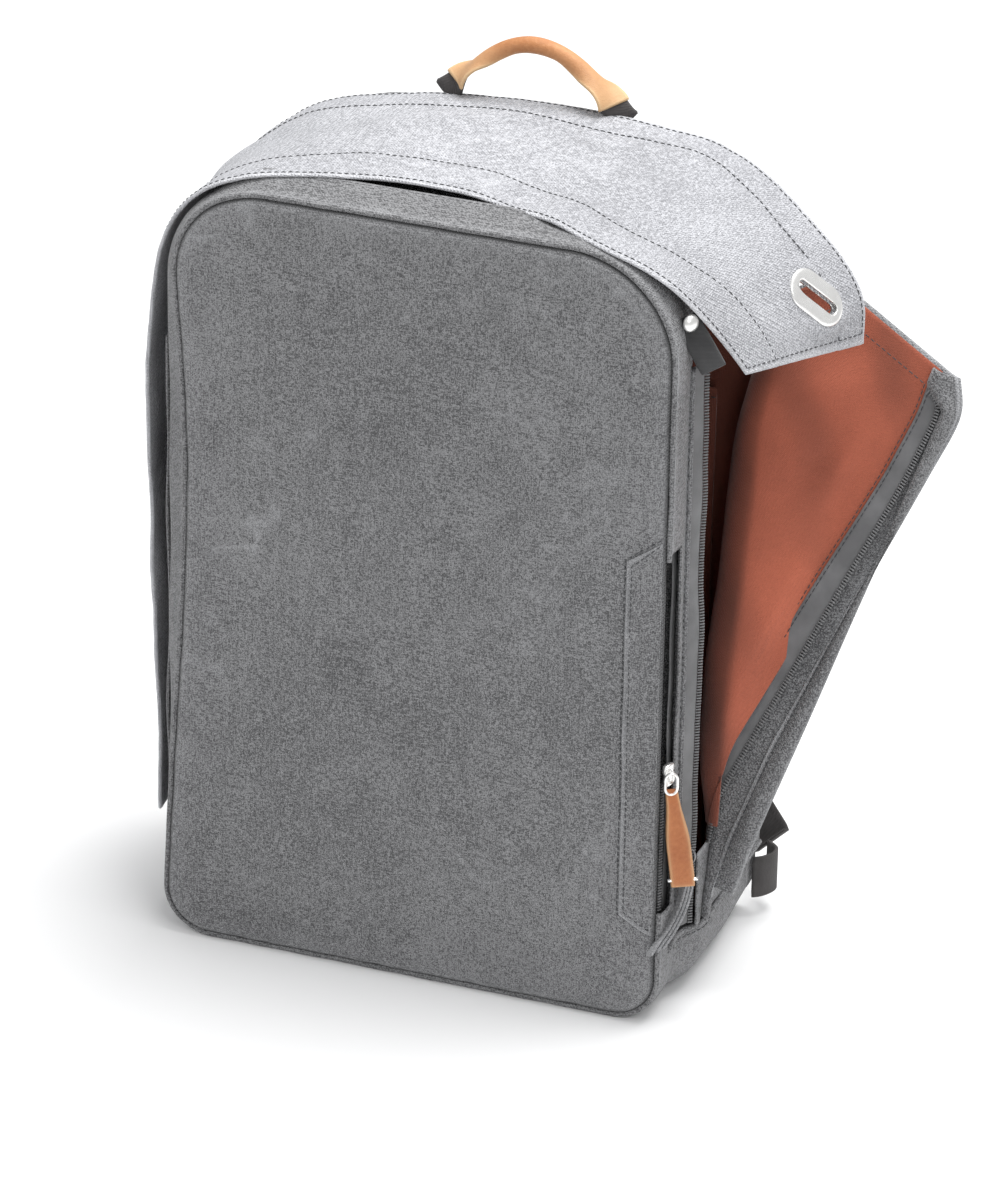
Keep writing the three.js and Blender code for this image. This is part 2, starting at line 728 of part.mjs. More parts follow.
function strapAnchor(side) {
  const path = [[161.5, 64], [166.5, 71], [167.5, 79], [161, 85.5]];
  const shape = strip(path.map(([x, y]) => [side * x, y]), 2);
  return alongZ(shape, 13, 38);
}

const yokeLow = [-YOKE.half, backFace, YOKE.low];
const yokeHigh = [YOKE.half, backFace + 2, YOKE.high];
add('strap_yoke', box(yokeLow, yokeHigh), COLOURS.canvas);
for (const [name, side] of [['left', -1], ['right', 1]]) {
  add(`strap_root_${name}`, strapRoot(side), COLOURS.webbing);
  add(`shoulder_strap_${name}`, strapPad(side), COLOURS.canvas);
  add(`strap_buckle_${name}`, strapBuckle(side), COLOURS.dark_metal);
  add(`strap_webbing_${name}`, strapWebbing(side), COLOURS.webbing);
  add(`strap_anchor_${name}`, strapAnchor(side), COLOURS.webbing);
}

export default backpack;
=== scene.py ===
"""The looks of a canvas travel backpack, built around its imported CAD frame.

Lengths in the shape code are millimetres in the part's frame, and become metres when a mesh is made.
"""

import math

import bmesh
import bpy
import numpy as np
from mathutils import Matrix, Vector


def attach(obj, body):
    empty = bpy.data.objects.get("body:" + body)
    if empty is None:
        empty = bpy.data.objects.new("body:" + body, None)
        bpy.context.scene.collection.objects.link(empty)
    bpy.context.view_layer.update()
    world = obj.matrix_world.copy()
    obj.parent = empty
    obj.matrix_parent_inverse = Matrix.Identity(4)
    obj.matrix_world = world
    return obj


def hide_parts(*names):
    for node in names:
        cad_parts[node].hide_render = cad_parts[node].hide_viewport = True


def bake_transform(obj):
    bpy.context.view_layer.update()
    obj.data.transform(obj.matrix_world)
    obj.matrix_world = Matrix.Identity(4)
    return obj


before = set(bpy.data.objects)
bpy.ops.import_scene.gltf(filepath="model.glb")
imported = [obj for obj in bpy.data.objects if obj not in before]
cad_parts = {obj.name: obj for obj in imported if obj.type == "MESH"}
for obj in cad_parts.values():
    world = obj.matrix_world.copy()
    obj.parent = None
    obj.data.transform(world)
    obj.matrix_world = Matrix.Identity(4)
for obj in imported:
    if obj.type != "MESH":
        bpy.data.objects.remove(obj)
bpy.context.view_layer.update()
MM = 0.001
X, Y, Z = np.eye(3)

# ---- Camera, lights and floor --------------------------------------------------------------

CAMERA = {"azimuth": 19.6, "elevation": 27.46, "roll": 1.07, "distance": 4.0, "lens": 216.24}
CAMERA_TARGET = Vector((0.02517, 0, 0.20755))
LIGHTS = {
    "overhead": {"place": (0.5, 0.45, 2.6), "size": 1.9, "power": 82},
    "key": {"place": (1.5, -1.6, 1.9), "size": 1.3, "power": 14},
    "fill": {"place": (-1.9, -1.5, 1.3), "size": 1.8, "power": 12},
}
LIGHT_AIM = Vector((0, 0, 0.2))
SKY = {"colour": (0.985, 0.99, 1.0, 1), "strength": 0.55}
FLOOR = {"size": 14, "place": (0, 0, -0.0005)}


def make_camera():
    azimuth, elevation = math.radians(CAMERA["azimuth"]), math.radians(CAMERA["elevation"])
    roll = math.radians(CAMERA["roll"])
    flat = math.cos(elevation)
    back = Vector((math.sin(azimuth) * flat, -math.cos(azimuth) * flat, math.sin(elevation)))
    level = Vector((math.cos(azimuth), math.sin(azimuth), 0))
    rise = back.cross(level)
    right = level * math.cos(roll) + rise * math.sin(roll)
    up = rise * math.cos(roll) - level * math.sin(roll)
    data = bpy.data.cameras.new("camera")
    data.lens = CAMERA["lens"]
    camera = bpy.data.objects.new("camera", data)
    bpy.context.scene.collection.objects.link(camera)
    turn = Matrix((right, up, back)).transposed().to_4x4()
    camera.matrix_world = Matrix.Translation(CAMERA_TARGET + back * CAMERA["distance"]) @ turn
    bpy.context.scene.camera = camera


def make_light(name, place, size, power):
    data = bpy.data.lights.new(name, "AREA")
    data.shape = "DISK"
    data.size = size
    data.energy = power
    light = bpy.data.objects.new(name, data)
    bpy.context.scene.collection.objects.link(light)
    light.location = place
    light.rotation_euler = (LIGHT_AIM - Vector(place)).to_track_quat("-Z", "Y").to_euler()


def make_studio():
    for name, light in LIGHTS.items():
        make_light(name, **light)
    world = bpy.data.worlds.new("studio")
    bpy.context.scene.world = world
    world.use_nodes = True
    background = world.node_tree.nodes["Background"]
    background.inputs["Color"].default_value = SKY["colour"]
    background.inputs["Strength"].default_value = SKY["strength"]
    bpy.context.scene.view_settings.view_transform = "Standard"
    bpy.ops.mesh.primitive_plane_add(size=FLOOR["size"], location=FLOOR["place"])
    floor = bpy.context.object
    floor.name = "floor"
    floor.data.materials.append(make_floor_material())


# ---- Material building blocks --------------------------------------------------------------


class Shader:
    """A small helper that adds and links nodes of one material."""

    def __init__(self, name):
        self.material = bpy.data.materials.new(name)
        self.material.use_nodes = True
        self.tree = self.material.node_tree
        self.surface = self.tree.nodes["Principled BSDF"]
        self.place = self.node("ShaderNodeTexCoord").outputs["Object"]

    def node(self, kind, **settings):
        node = self.tree.nodes.new(kind)
        for key, value in settings.items():
            setattr(node, key, value)
        return node

    def put(self, socket, value):
        if isinstance(value, bpy.types.NodeSocket):
            self.tree.links.new(value, socket)
        else:
            socket.default_value = value

    def math(self, operation, a, b=0.0):
        node = self.node("ShaderNodeMath", operation=operation)
        self.put(node.inputs[0], a)
        self.put(node.inputs[1], b)
        return node.outputs[0]

    def add(self, a, b):
        return self.math("ADD", a, b)

    def times(self, a, b):
        return self.math("MULTIPLY", a, b)

    def scaled(self, factors):
        node = self.node("ShaderNodeVectorMath", operation="MULTIPLY")
        self.put(node.inputs[0], self.place)
        node.inputs[1].default_value = factors
        return node.outputs[0]

    def noise(self, scale, detail=3.0, stretch=(1, 1, 1), roughness=0.55):
        node = self.node("ShaderNodeTexNoise")
        self.put(node.inputs["Vector"], self.scaled(stretch))
        node.inputs["Scale"].default_value = scale
        node.inputs["Detail"].default_value = detail
        node.inputs["Roughness"].default_value = roughness
        return node.outputs["Fac"]

    def ramp(self, value, low, high, from_value=0.0, to_value=1.0):
        node = self.node("ShaderNodeMapRange", clamp=True)
        self.put(node.inputs[0], value)
        for socket, number in zip(node.inputs[1:5], (low, high, from_value, to_value)):
            socket.default_value = number
        return node.outputs[0]

    def mix(self, share, a, b):
        node = self.node("ShaderNodeMix", data_type="RGBA")
        self.put(node.inputs[0], share)
        for socket, colour in ((node.inputs[6], a), (node.inputs[7], b)):
            self.put(socket, (*colour, 1) if isinstance(colour, tuple) else colour)
        return node.outputs[2]

    def weave(self, pitch):
        """Over-and-under threads on any plane along two axes, from -1 to 1."""
        k = math.pi / (pitch * MM)
        node = self.node("ShaderNodeVectorMath", operation="SINE")
        self.put(node.inputs[0], self.scaled((k, k, k)))
        parts = self.node("ShaderNodeSeparateXYZ")
        self.put(parts.inputs[0], node.outputs[0])
        x, y, z = parts.outputs
        pairs = self.add(self.times(x, z), self.times(y, z))
        return self.add(pairs, self.times(x, y))

    def twill(self, pitch, direction):
        """Slanting ribs, from -1 to 1."""
        k = 2 * math.pi / (pitch * MM)
        node = self.node("ShaderNodeVectorMath", operation="DOT_PRODUCT")
        self.put(node.inputs[0], self.place)
        node.inputs[1].default_value = [k * part for part in direction]
        return self.math("SINE", node.outputs["Value"])

    def attribute(self, name):
        return self.node("ShaderNodeAttribute", attribute_name=name).outputs["Fac"]

    def finish(self, colour, height=None, depth=0.3, roughness=0.9, strength=1.0):
        self.put(self.surface.inputs["Base Color"], colour)
        self.put(self.surface.inputs["Roughness"], roughness)
        if height is not None:
            bump = self.node("ShaderNodeBump")
            bump.inputs["Distance"].default_value = depth * MM
            bump.inputs["Strength"].default_value = strength
            self.put(bump.inputs["Height"], height)
            self.put(self.surface.inputs["Normal"], bump.outputs[0])
        return self.material


def make_floor_material():
    shader = Shader("floor_paper")
    cloud = shader.noise(3, 2)
    return shader.finish(shader.mix(cloud, (0.90, 0.90, 0.90), (0.93, 0.93, 0.93)), roughness=0.8)


def make_canvas(name, dark, light, worn, mottle, speckle):
    """Washed cotton canvas: weave, uneven threads, cloudy fading, scuffs and pale worn edges.

    mottle is the strength of the cloudy fading, and speckle that of the light and dark threads.
    """
    shader = Shader(name)
    cloud = shader.noise(7.5, 5, roughness=0.62)
    blotch = shader.noise(38, 4, roughness=0.6)
    slub_level = shader.noise(60, 3, stretch=(1, 1, 22))
    slub_upright = shader.noise(60, 3, stretch=(22, 22, 1))
    grain = shader.noise(1150, 2)
    fleck_level = shader.noise(480, 2, stretch=(1, 1, 4.5))
    fleck_upright = shader.noise(480, 2, stretch=(4.5, 4.5, 1))
    fleck = shader.times(shader.add(fleck_level, fleck_upright), 0.5)
    weave = shader.weave(0.95)
    tone = shader.times(shader.ramp(cloud, 0.3, 0.7), mottle)
    tone = shader.add(tone, shader.times(shader.ramp(blotch, 0.3, 0.72), 0.22))
    threads = shader.add(shader.times(slub_level, 0.5), slub_upright)
    tone = shader.add(tone, shader.ramp(threads, 0.55, 0.95, -0.16, 0.22))
    tone = shader.add(tone, shader.ramp(grain, 0.3, 0.7, -0.4, 0.4))
    tone = shader.add(tone, shader.ramp(fleck, 0.40, 0.60, -0.85 * speckle, 1.15 * speckle))
    tone = shader.add(tone, shader.times(weave, 0.2))
    cloth = shader.mix(tone, dark, light)
    # Thin pale creases lie where a broad noise crosses its middle value.
    vein = shader.math("ABSOLUTE", shader.math("SUBTRACT", shader.noise(5.2, 4, roughness=0.7), 0.5))
    crease = shader.times(shader.ramp(vein, 0.0, 0.012, 0.3, 0.0), shader.ramp(cloud, 0.45, 0.65))
    cloth = shader.mix(crease, cloth, worn)
    rub = shader.times(shader.attribute("wear"), shader.ramp(blotch, 0.25, 0.65, 0.35, 1.0))
    cloth = shader.mix(shader.times(rub, 0.75), cloth, worn)
    # Painted shade: where the shade attribute is set, the colour darkens towards a third of the dark threads,
    # in seam grooves and shaded places.
    cloth = shader.mix(shader.attribute("shade"), cloth, tuple(0.35 * part for part in dark))
    height = shader.add(shader.times(weave, 0.5), shader.times(grain, 0.8))
    height = shader.add(height, shader.times(threads, 0.7))
    shader.surface.inputs["Sheen Weight"].default_value = 0.12
    shader.surface.inputs["Sheen Roughness"].default_value = 0.5
    return shader.finish(cloth, height, depth=0.35, roughness=0.93)


def make_lining():
    """Smooth rust-red cotton with a fine twill line, soft variation of tone, and painted shade where the
    shade attribute is set.
    """
    shader = Shader("rust_lining")
    cloud = shader.noise(11, 4)
    grain = shader.noise(900, 2)
    tone = shader.add(shader.ramp(cloud, 0.3, 0.7), shader.ramp(grain, 0.3, 0.7, -0.15, 0.15))
    cloth = shader.mix(tone, (0.31, 0.074, 0.037), (0.48, 0.121, 0.063))
    # Painted shade: the shade attribute darkens the lining towards near-black inside the bag and along its
    # folds.
    cloth = shader.mix(shader.attribute("shade"), cloth, (0.10, 0.028, 0.016))
    height = shader.add(shader.times(shader.weave(0.5), 0.5), grain)
    shader.surface.inputs["Sheen Weight"].default_value = 0.2
    return shader.finish(cloth, height, depth=0.12, roughness=0.8)


def make_woven(name, dark, light, pitch, depth):
    """Webbing and zip tape: close slanting ribs both ways."""
    shader = Shader(name)
    ribs = shader.times(shader.twill(pitch, (1, 1, 1)), shader.twill(pitch, (1, 1, -1)))
    cloud = shader.noise(45, 3)
    tone = shader.add(shader.ramp(cloud, 0.3, 0.7), shader.times(ribs, 0.35))
    cloth = shader.mix(tone, dark, light)
    cloth = shader.mix(shader.times(shader.attribute("wear"), 0.6), cloth, (0.42, 0.40, 0.38))
    shader.surface.inputs["Sheen Weight"].default_value = 0.1
    return shader.finish(cloth, ribs, depth=depth, roughness=0.85)


def make_leather(name, dark, light):
    """Vegetable-tanned leather: pores, fine grain, darker hollows and pale cut edges."""
    shader = Shader(name)
    cloud = shader.noise(26, 4)
    pores = shader.node("ShaderNodeTexVoronoi", feature="DISTANCE_TO_EDGE")
    shader.put(pores.inputs["Vector"], shader.place)
    pores.inputs["Scale"].default_value = 950
    grain = shader.ramp(pores.outputs["Distance"], 0.0, 0.25)
    fibre = shader.noise(420, 3)
    tone = shader.add(shader.ramp(cloud, 0.3, 0.7), shader.ramp(fibre, 0.3, 0.7, -0.2, 0.2))
    hide = shader.mix(tone, dark, light)
    hide = shader.mix(shader.times(shader.attribute("wear"), 0.8), hide, (0.66, 0.44, 0.24))
    height = shader.add(grain, shader.times(fibre, 0.6))
    shader.surface.inputs["Specular IOR Level"].default_value = 0.4
    return shader.finish(hide, height, depth=0.1, roughness=shader.ramp(cloud, 0.3, 0.7, 0.42, 0.6))


def make_metal(name, colour, worn, roughness, metallic=1.0):
    """Plated metal with faint scratches and handled, duller patches."""
    shader = Shader(name)
    patches = shader.noise(120, 3)
    scratches = shader.noise(300, 2, stretch=(1, 9, 1))
    shader.surface.inputs["Metallic"].default_value = metallic
    plate = shader.mix(shader.ramp(patches, 0.45, 0.75), colour, worn)
    rough = shader.add(shader.ramp(patches, 0.3, 0.7, roughness, roughness + 0.12),
                        shader.ramp(scratches, 0.6, 0.8, 0.0, 0.08))
    return shader.finish(plate, scratches, depth=0.02, roughness=rough)


def make_plain(name, dark, light, roughness, grain_scale, depth):
    """Moulded plastic, foam or board: a fine grain over a slightly uneven colour."""
    shader = Shader(name)
    grain = shader.noise(grain_scale, 3)
    return shader.finish(shader.mix(grain, dark, light), grain, depth=depth, roughness=roughness)


# Dark threads, light threads, and worn edges. The lid's colours are about twice as bright as the body's:
# painted light standing for the overhead light that falls on its top.
BODY_COLOURS = (0.078, 0.078, 0.081), (0.245, 0.246, 0.252), (0.42, 0.425, 0.44)
TOP_LIT_LID_COLOURS = (0.25, 0.252, 0.268), (0.52, 0.525, 0.55), (0.66, 0.665, 0.69)


def make_materials():
    """Each material by its name, which is also its CAD slot's name where that has one."""
    return {
        "canvas": make_canvas("washed_canvas", *BODY_COLOURS, mottle=0.62, speckle=1.0),
        # The lid and flap use a brighter copy of the same canvas: painted light on the top of the bag.
        "lid_canvas": make_canvas("lid_canvas", *TOP_LIT_LID_COLOURS, mottle=0.55, speckle=0.62),
        "rust_lining": make_lining(),
        "zip_tape": make_woven("zip_tape", (0.13, 0.13, 0.133), (0.215, 0.215, 0.22), 1.1, 0.1),
        "zip_coil": make_plain("zip_coil", (0.11, 0.11, 0.112), (0.20, 0.20, 0.205), 0.3, 600, 0.02),
        "nickel": make_metal("nickel", (0.93, 0.925, 0.91), (0.80, 0.79, 0.77), 0.22, 0.8),
        "dark_nickel": make_metal("dark_nickel", (0.20, 0.20, 0.21), (0.32, 0.31, 0.30), 0.25),
        "leather": make_leather("tan_leather", (0.43, 0.175, 0.065), (0.62, 0.31, 0.14)),
        "puller_leather": make_leather("puller_leather", (0.34, 0.105, 0.032), (0.50, 0.19, 0.07)),
        "webbing": make_woven("webbing", (0.030, 0.027, 0.027), (0.075, 0.068, 0.067), 1.5, 0.2),
        "buckle_metal": make_metal("buckle_metal", (0.24, 0.24, 0.25), (0.33, 0.33, 0.33), 0.3),
        "foam": make_plain("foam", (0.02, 0.02, 0.021), (0.05, 0.05, 0.052), 0.9, 700, 0.2),
        "board": make_plain("board", (0.20, 0.18, 0.14), (0.29, 0.26, 0.21), 0.8, 250, 0.1),
        "thread": make_woven("thread", (0.035, 0.036, 0.04), (0.075, 0.076, 0.08), 0.5, 0.05),
        "webbing_grey": make_woven("webbing_grey", (0.028, 0.028, 0.029), (0.075, 0.075, 0.077), 1.4, 0.2),
        "pale_thread": make_woven("pale_thread", (0.19, 0.19, 0.20), (0.28, 0.28, 0.29), 0.5, 0.05),
    }


make_camera()
make_studio()
MATERIALS = make_materials()

# ---- Numbers and curves --------------------------------------------------------------------


def unit(vectors):
    length = np.linalg.norm(vectors, axis=-1, keepdims=True)
    return vectors / np.maximum(length, 1e-9)


def smoothstep(low, high, value):
    t = np.clip((value - low) / (high - low), 0, 1)
    return t * t * (3 - 2 * t)


def full_turn(count):
    """Evenly spaced angles round a circle."""
    return np.linspace(0, 2 * math.pi, count, endpoint=False)


def eased_steps(count):
    """Shares from 0 to 1 that crowd together at both ends."""
    return (1 - np.cos(math.pi * np.linspace(0, 1, count))) / 2


def signed_power(value, power):
    return np.sign(value) * np.abs(value) ** power


def ripple(points, size, seed):
    """Smooth, repeatable waves through space, about -1 to 1, with features of the given size."""
    draw = np.random.RandomState(seed)
    total = np.zeros(points.shape[:-1])
    for _ in range(6):
        direction = unit(draw.normal(size=3)) * draw.uniform(0.6, 1.4)
        total += np.sin(points @ direction * (2 * math.pi / size) + draw.uniform(0, 2 * math.pi))
    return total / 3.2


def resample(points, count, closed=False):
    """Points at even steps along a path."""
    points = np.asarray(points, float)
    if closed:
        points = np.vstack([points, points[:1]])
    steps = np.linalg.norm(np.diff(points, axis=0), axis=1)
    run = np.concatenate([[0], np.cumsum(steps)])
    at = np.linspace(0, run[-1], count, endpoint=not closed)
    return np.stack([np.interp(at, run, column) for column in points.T], axis=1)


def smooth_curve(points, count):
    """A Catmull-Rom curve through the points, at even steps."""
    points = np.asarray(points, float)
    padded = np.vstack([2 * points[0] - points[1], points, 2 * points[-1] - points[-2]])
    fine = []
    for a, b, c, d in zip(padded, padded[1:], padded[2:], padded[3:]):
        t = np.linspace(0, 1, 24, endpoint=False)[:, None]
        fine.append(0.5 * (2 * b + (c - a) * t + (2 * a - 5 * b + 4 * c - d) * t**2
                           + (3 * b - a - 3 * c + d) * t**3))
    return resample(np.vstack([*fine, points[-1:]]), count)


def inset_box(size, inset):
    """Half width, base, top, and the radii of the top and bottom corners, of an inset rectangle."""
    half, low, high = size["half"] - inset, size["low"] + inset, size["high"] - inset
    return half, low, high, size["top"] - inset, size["bottom"] - inset


def rounded_outline(size, inset, count):
    """A rounded rectangle in (x, z), from the middle of the base round by +x, at even steps."""
    half, low, high, top, bottom = inset_box(size, inset)
    corners = [(half - bottom, low + bottom, bottom, -90), (half - top, high - top, top, 0),
               (top - half, high - top, top, 90), (bottom - half, low + bottom, bottom, 180)]
    points = [(0.0, low)]
    for x, z, radius, start in corners:
        angle = np.radians(np.linspace(start, start + 90, 40))
        points += list(zip(x + radius * np.cos(angle), z + radius * np.sin(angle)))
    return resample(points, count, closed=True)


def half_width(size, z, inset=0.0):
    """Half the width of the rounded rectangle at height z."""
    half, low, high, top, bottom = inset_box(size, inset)
    into_top = np.clip(z - (high - top), 0, top)
    into_bottom = np.clip((low + bottom) - z, 0, bottom)
    trim = top - np.sqrt(np.maximum(top**2 - into_top**2, 0))
    return half - trim - (bottom - np.sqrt(np.maximum(bottom**2 - into_bottom**2, 0)))


def edge_distance(size, x, z, inset=0.0):
    """How far inside the rounded rectangle a point is."""
    half, low, high, top, bottom = inset_box(size, inset)
    middle = (low + high) / 2
    radius = np.where(z > middle, top, bottom)
    dx, dz = np.abs(x) - (half - radius), np.abs(z - middle) - ((high - low) / 2 - radius)
    outside = np.hypot(np.maximum(dx, 0), np.maximum(dz, 0))
    return radius - outside - np.minimum(np.maximum(dx, dz), 0)


# ---- Mesh building blocks ------------------------------------------------------------------


def make_object(name, vertices, faces, slot, values=None, material=None):
    """A mesh that never goes below the floor, with its CAD slot's material unless another is named."""
    mesh = bpy.data.meshes.new(name)
    vertices = np.array(vertices, float)
    vertices[:, 2] = np.maximum(vertices[:, 2], 0)
    mesh.from_pydata((vertices * MM).tolist(), [], faces)
    mesh.validate()
    for key, numbers in (values or {}).items():
        layer = mesh.attributes.new(key, "FLOAT", "POINT")
        layer.data.foreach_set("value", np.asarray(numbers, np.float32))
    mesh.shade_smooth()
    piece = bpy.data.objects.new(name, mesh)
    bpy.context.scene.collection.objects.link(piece)
    mesh.materials.append(MATERIALS[material or slot])
    return piece


def grid_normals(grid, closed=False):
    if closed:
        along = np.roll(grid, -1, axis=0) - np.roll(grid, 1, axis=0)
    else:
        along = np.gradient(grid, axis=0)
    return unit(np.cross(along, np.gradient(grid, axis=1)))


def sheet_faces(rows, columns, closed, skip):
    """Quads of both faces of a sheet, and the edges round its rim and its holes."""
    count = rows * columns
    faces, edges = [], {}
    for i in range(rows if closed else rows - 1):
        for j in range(columns - 1):
            if skip is not None and skip[i, j]:
                continue
            a, b = i * columns + j, ((i + 1) % rows) * columns + j
            quad = (a, b, b + 1, a + 1)
            faces.append(quad)
            faces.append(tuple(count + v for v in reversed(quad)))
            edges.update(dict.fromkeys(zip(quad, quad[1:] + quad[:1])))
    return faces, [(a, b) for a, b in edges if (b, a) not in edges]


# How far a sheet's rim rounds out, as a share of its thickness.
RIM_BULGE = 0.42


def cloth(name, grid, thickness, slot, *, closed=False, skip=None, flat=None, wear=None, shade=None,
          material=None):
    """A closed sheet: the grid is its outer face, and it is `thickness` deep against the normal.

    skip marks grid cells left out as a hole, and flat marks grid points on an end that meets another
    piece, which gets a square end instead of a rounded one.
    """
    grid = np.stack([grid[..., 0], grid[..., 1], np.maximum(grid[..., 2], 0)], axis=-1)
    rows, columns = grid.shape[:2]
    count = rows * columns
    normals = grid_normals(grid, closed)
    faces, rim = sheet_faces(rows, columns, closed, skip)
    points, directions = grid.reshape(-1, 3), normals.reshape(-1, 3)
    lower = points - directions * thickness
    vertices = [points, lower]
    square = np.zeros(count, bool) if flat is None else flat.reshape(-1)
    outward = {}
    for a, b in rim:
        push = np.zeros(3)
        if not (square[a] and square[b]):
            push = unit(np.cross(points[b] - points[a], directions[a]))
        for v in (a, b):
            outward[v] = outward.get(v, np.zeros(3)) + push
    middle = {v: 2 * count + k for k, v in enumerate(outward)}
    ring = [(points[v] + lower[v]) / 2 + unit(push) * thickness * RIM_BULGE for v, push in outward.items()]
    if ring:
        vertices.append(np.array(ring))
    for a, b in rim:
        faces.append((b, a, middle[a], middle[b]))
        faces.append((middle[b], middle[a], count + a, count + b))
    owner = np.array(list(outward), int)
    values = {}
    for key, numbers in (("wear", wear), ("shade", shade)):
        if numbers is not None:
            numbers = np.broadcast_to(numbers, (rows, columns)).reshape(-1)
            values[key] = np.concatenate([numbers, numbers, numbers[owner]])
    piece = make_object(name, np.vstack(vertices), faces, slot, values, material)
    if flat is not None:
        mark_square_end(piece, square, count)
    return remove_loose(piece)


def mark_square_end(piece, square, count):
    """Keeps the shading of an end crisp where it meets another piece."""
    for edge in piece.data.edges:
        a, b = edge.vertices
        if max(a, b) < 2 * count and (a < count) == (b < count) and square[a % count] and square[b % count]:
            edge.use_edge_sharp = True


def remove_loose(piece):
    """Takes out the vertices that a hole left without faces."""
    used = set()
    for polygon in piece.data.polygons:
        used.update(polygon.vertices)
    if len(used) < len(piece.data.vertices):
        work = bmesh.new()
        work.from_mesh(piece.data)
        loose = [v for v in work.verts if not v.link_faces]
        bmesh.ops.delete(work, geom=loose, context="VERTS")
        work.to_mesh(piece.data)
        work.free()
    return piece


def frames_along(points, normals, closed=False):
    """Directions along a path, across it, and out of it as near to the normals as they can be."""
    if closed:
        along = unit(np.roll(points, -1, axis=0) - np.roll(points, 1, axis=0))
    else:
        along = unit(np.gradient(points, axis=0))
    normals = unit(normals - np.sum(normals * along, axis=1, keepdims=True) * along)
    return along, unit(np.cross(normals, along)), normals


def scatter(name, template, faces, places, along, across, up, slot, material=None):
    """Copies of one small closed form, one mesh, each set in its own frame."""
    template = np.asarray(template, float)
    vertices = (places[:, None] + template[None, :, 0:1] * along[:, None]
                + template[None, :, 1:2] * across[:, None] + template[None, :, 2:3] * up[:, None])
    size = len(template)
    all_faces = [tuple(v + k * size for v in face) for k in range(len(places)) for face in faces]
    return make_object(name, vertices.reshape(-1, 3), all_faces, slot, material=material)


def loft(rings):
    """Vertices and faces of a closed form through rings of points, with flat ends."""
    rings = np.asarray(rings, float)
    count, sides = rings.shape[:2]
    faces = [(i * sides + k, i * sides + (k + 1) % sides, (i + 1) * sides + (k + 1) % sides,
              (i + 1) * sides + k) for i in range(count - 1) for k in range(sides)]
    faces.append(tuple(reversed(range(sides))))
    faces.append(tuple((count - 1) * sides + k for k in range(sides)))
    return rings.reshape(-1, 3), faces


def stitch_form(length, radius):
    """One stitch: a thread that rises from its needle hole, lies on the cloth and dips again."""
    turn = full_turn(6)
    rings = []
    for share, girth in ((-0.5, 0.55), (-0.36, 0.95), (0, 1.0), (0.36, 0.95), (0.5, 0.55)):
        rise = radius * (0.55 - 5.2 * share**2)
        thick = radius * girth
        rings.append([(share * length, thick * math.cos(a), rise + thick * math.sin(a)) for a in turn])
    return loft(rings)


def stitches(name, points, normals, slot="canvas", pitch=3.8, length=2.7, radius=0.30, closed=False,
             material="thread"):
    """A row of real stitches along a path that lies on a surface."""
    steps = np.linalg.norm(np.diff(points, axis=0), axis=1).sum()
    count = max(int(steps / pitch), 2)
    path = resample(np.hstack([points, normals]), count * 3, closed)[:, :6]
    places, ups = path[:, :3], path[:, 3:]
    along, across, up = frames_along(places, ups, closed)
    template, faces = stitch_form(length, radius)
    pick = slice(1, None, 3)
    return scatter(name, template, faces, places[pick], along[pick], across[pick], up[pick], slot, material)


# A zip tooth's sections (reach, half length, half height), and the corners of each.
TOOTH_SECTIONS = [(-1.5, 0.34, 0.5), (-1.2, 0.5, 0.8), (0.2, 0.48, 0.78), (0.6, 0.36, 0.62), (1.1, 0.52, 0.8),
                  (1.5, 0.34, 0.5)]
TOOTH_CORNERS = [(-1, -0.6), (-0.6, -1), (0.6, -1), (1, -0.6), (1, 0.6), (0.6, 1), (-0.6, 1), (-1, 0.6)]


def teeth(name, points, normals, slot="zip_coil", pitch=1.75):
    """A row of moulded zip teeth, each with a waist and a rounded head."""
    steps = np.linalg.norm(np.diff(points, axis=0), axis=1).sum()
    path = resample(np.hstack([points, normals]), int(steps / pitch))
    along, across, up = frames_along(path[:, :3], path[:, 3:])
    template, faces = loft([[(a * half_along, reach, b * half_up) for a, b in TOOTH_CORNERS]
                            for reach, half_along, half_up in TOOTH_SECTIONS])
    return scatter(name, template, faces, path[:, :3], along, across, up, slot)


def tube(name, points, radius, slot, *, closed=False, up=Y, sides=10):
    """A round rod along a path."""
    points = np.asarray(points, float)
    along, across, normal = frames_along(points, np.broadcast_to(up, points.shape), closed)
    turn = full_turn(sides)
    rings = (points[:, None] + radius * np.cos(turn)[None, :, None] * across[:, None]
             + radius * np.sin(turn)[None, :, None] * normal[:, None])
    vertices, faces = loft(rings)
    if closed:
        count = len(points)
        faces = faces[:-2] + [((count - 1) * sides + k, (count - 1) * sides + (k + 1) % sides,
                               (k + 1) % sides, k) for k in range(sides)]
    return make_object(name, vertices, faces, slot)


def strap_grid(centres, across, width, steps=9):
    """Rows across a strap of one width, from its middle line."""
    share = np.linspace(-0.5, 0.5, steps)
    return centres[:, None] + share[None, :, None] * width * across[:, None]


SETTLE = {"frames": 20, "pressure": 4.0}


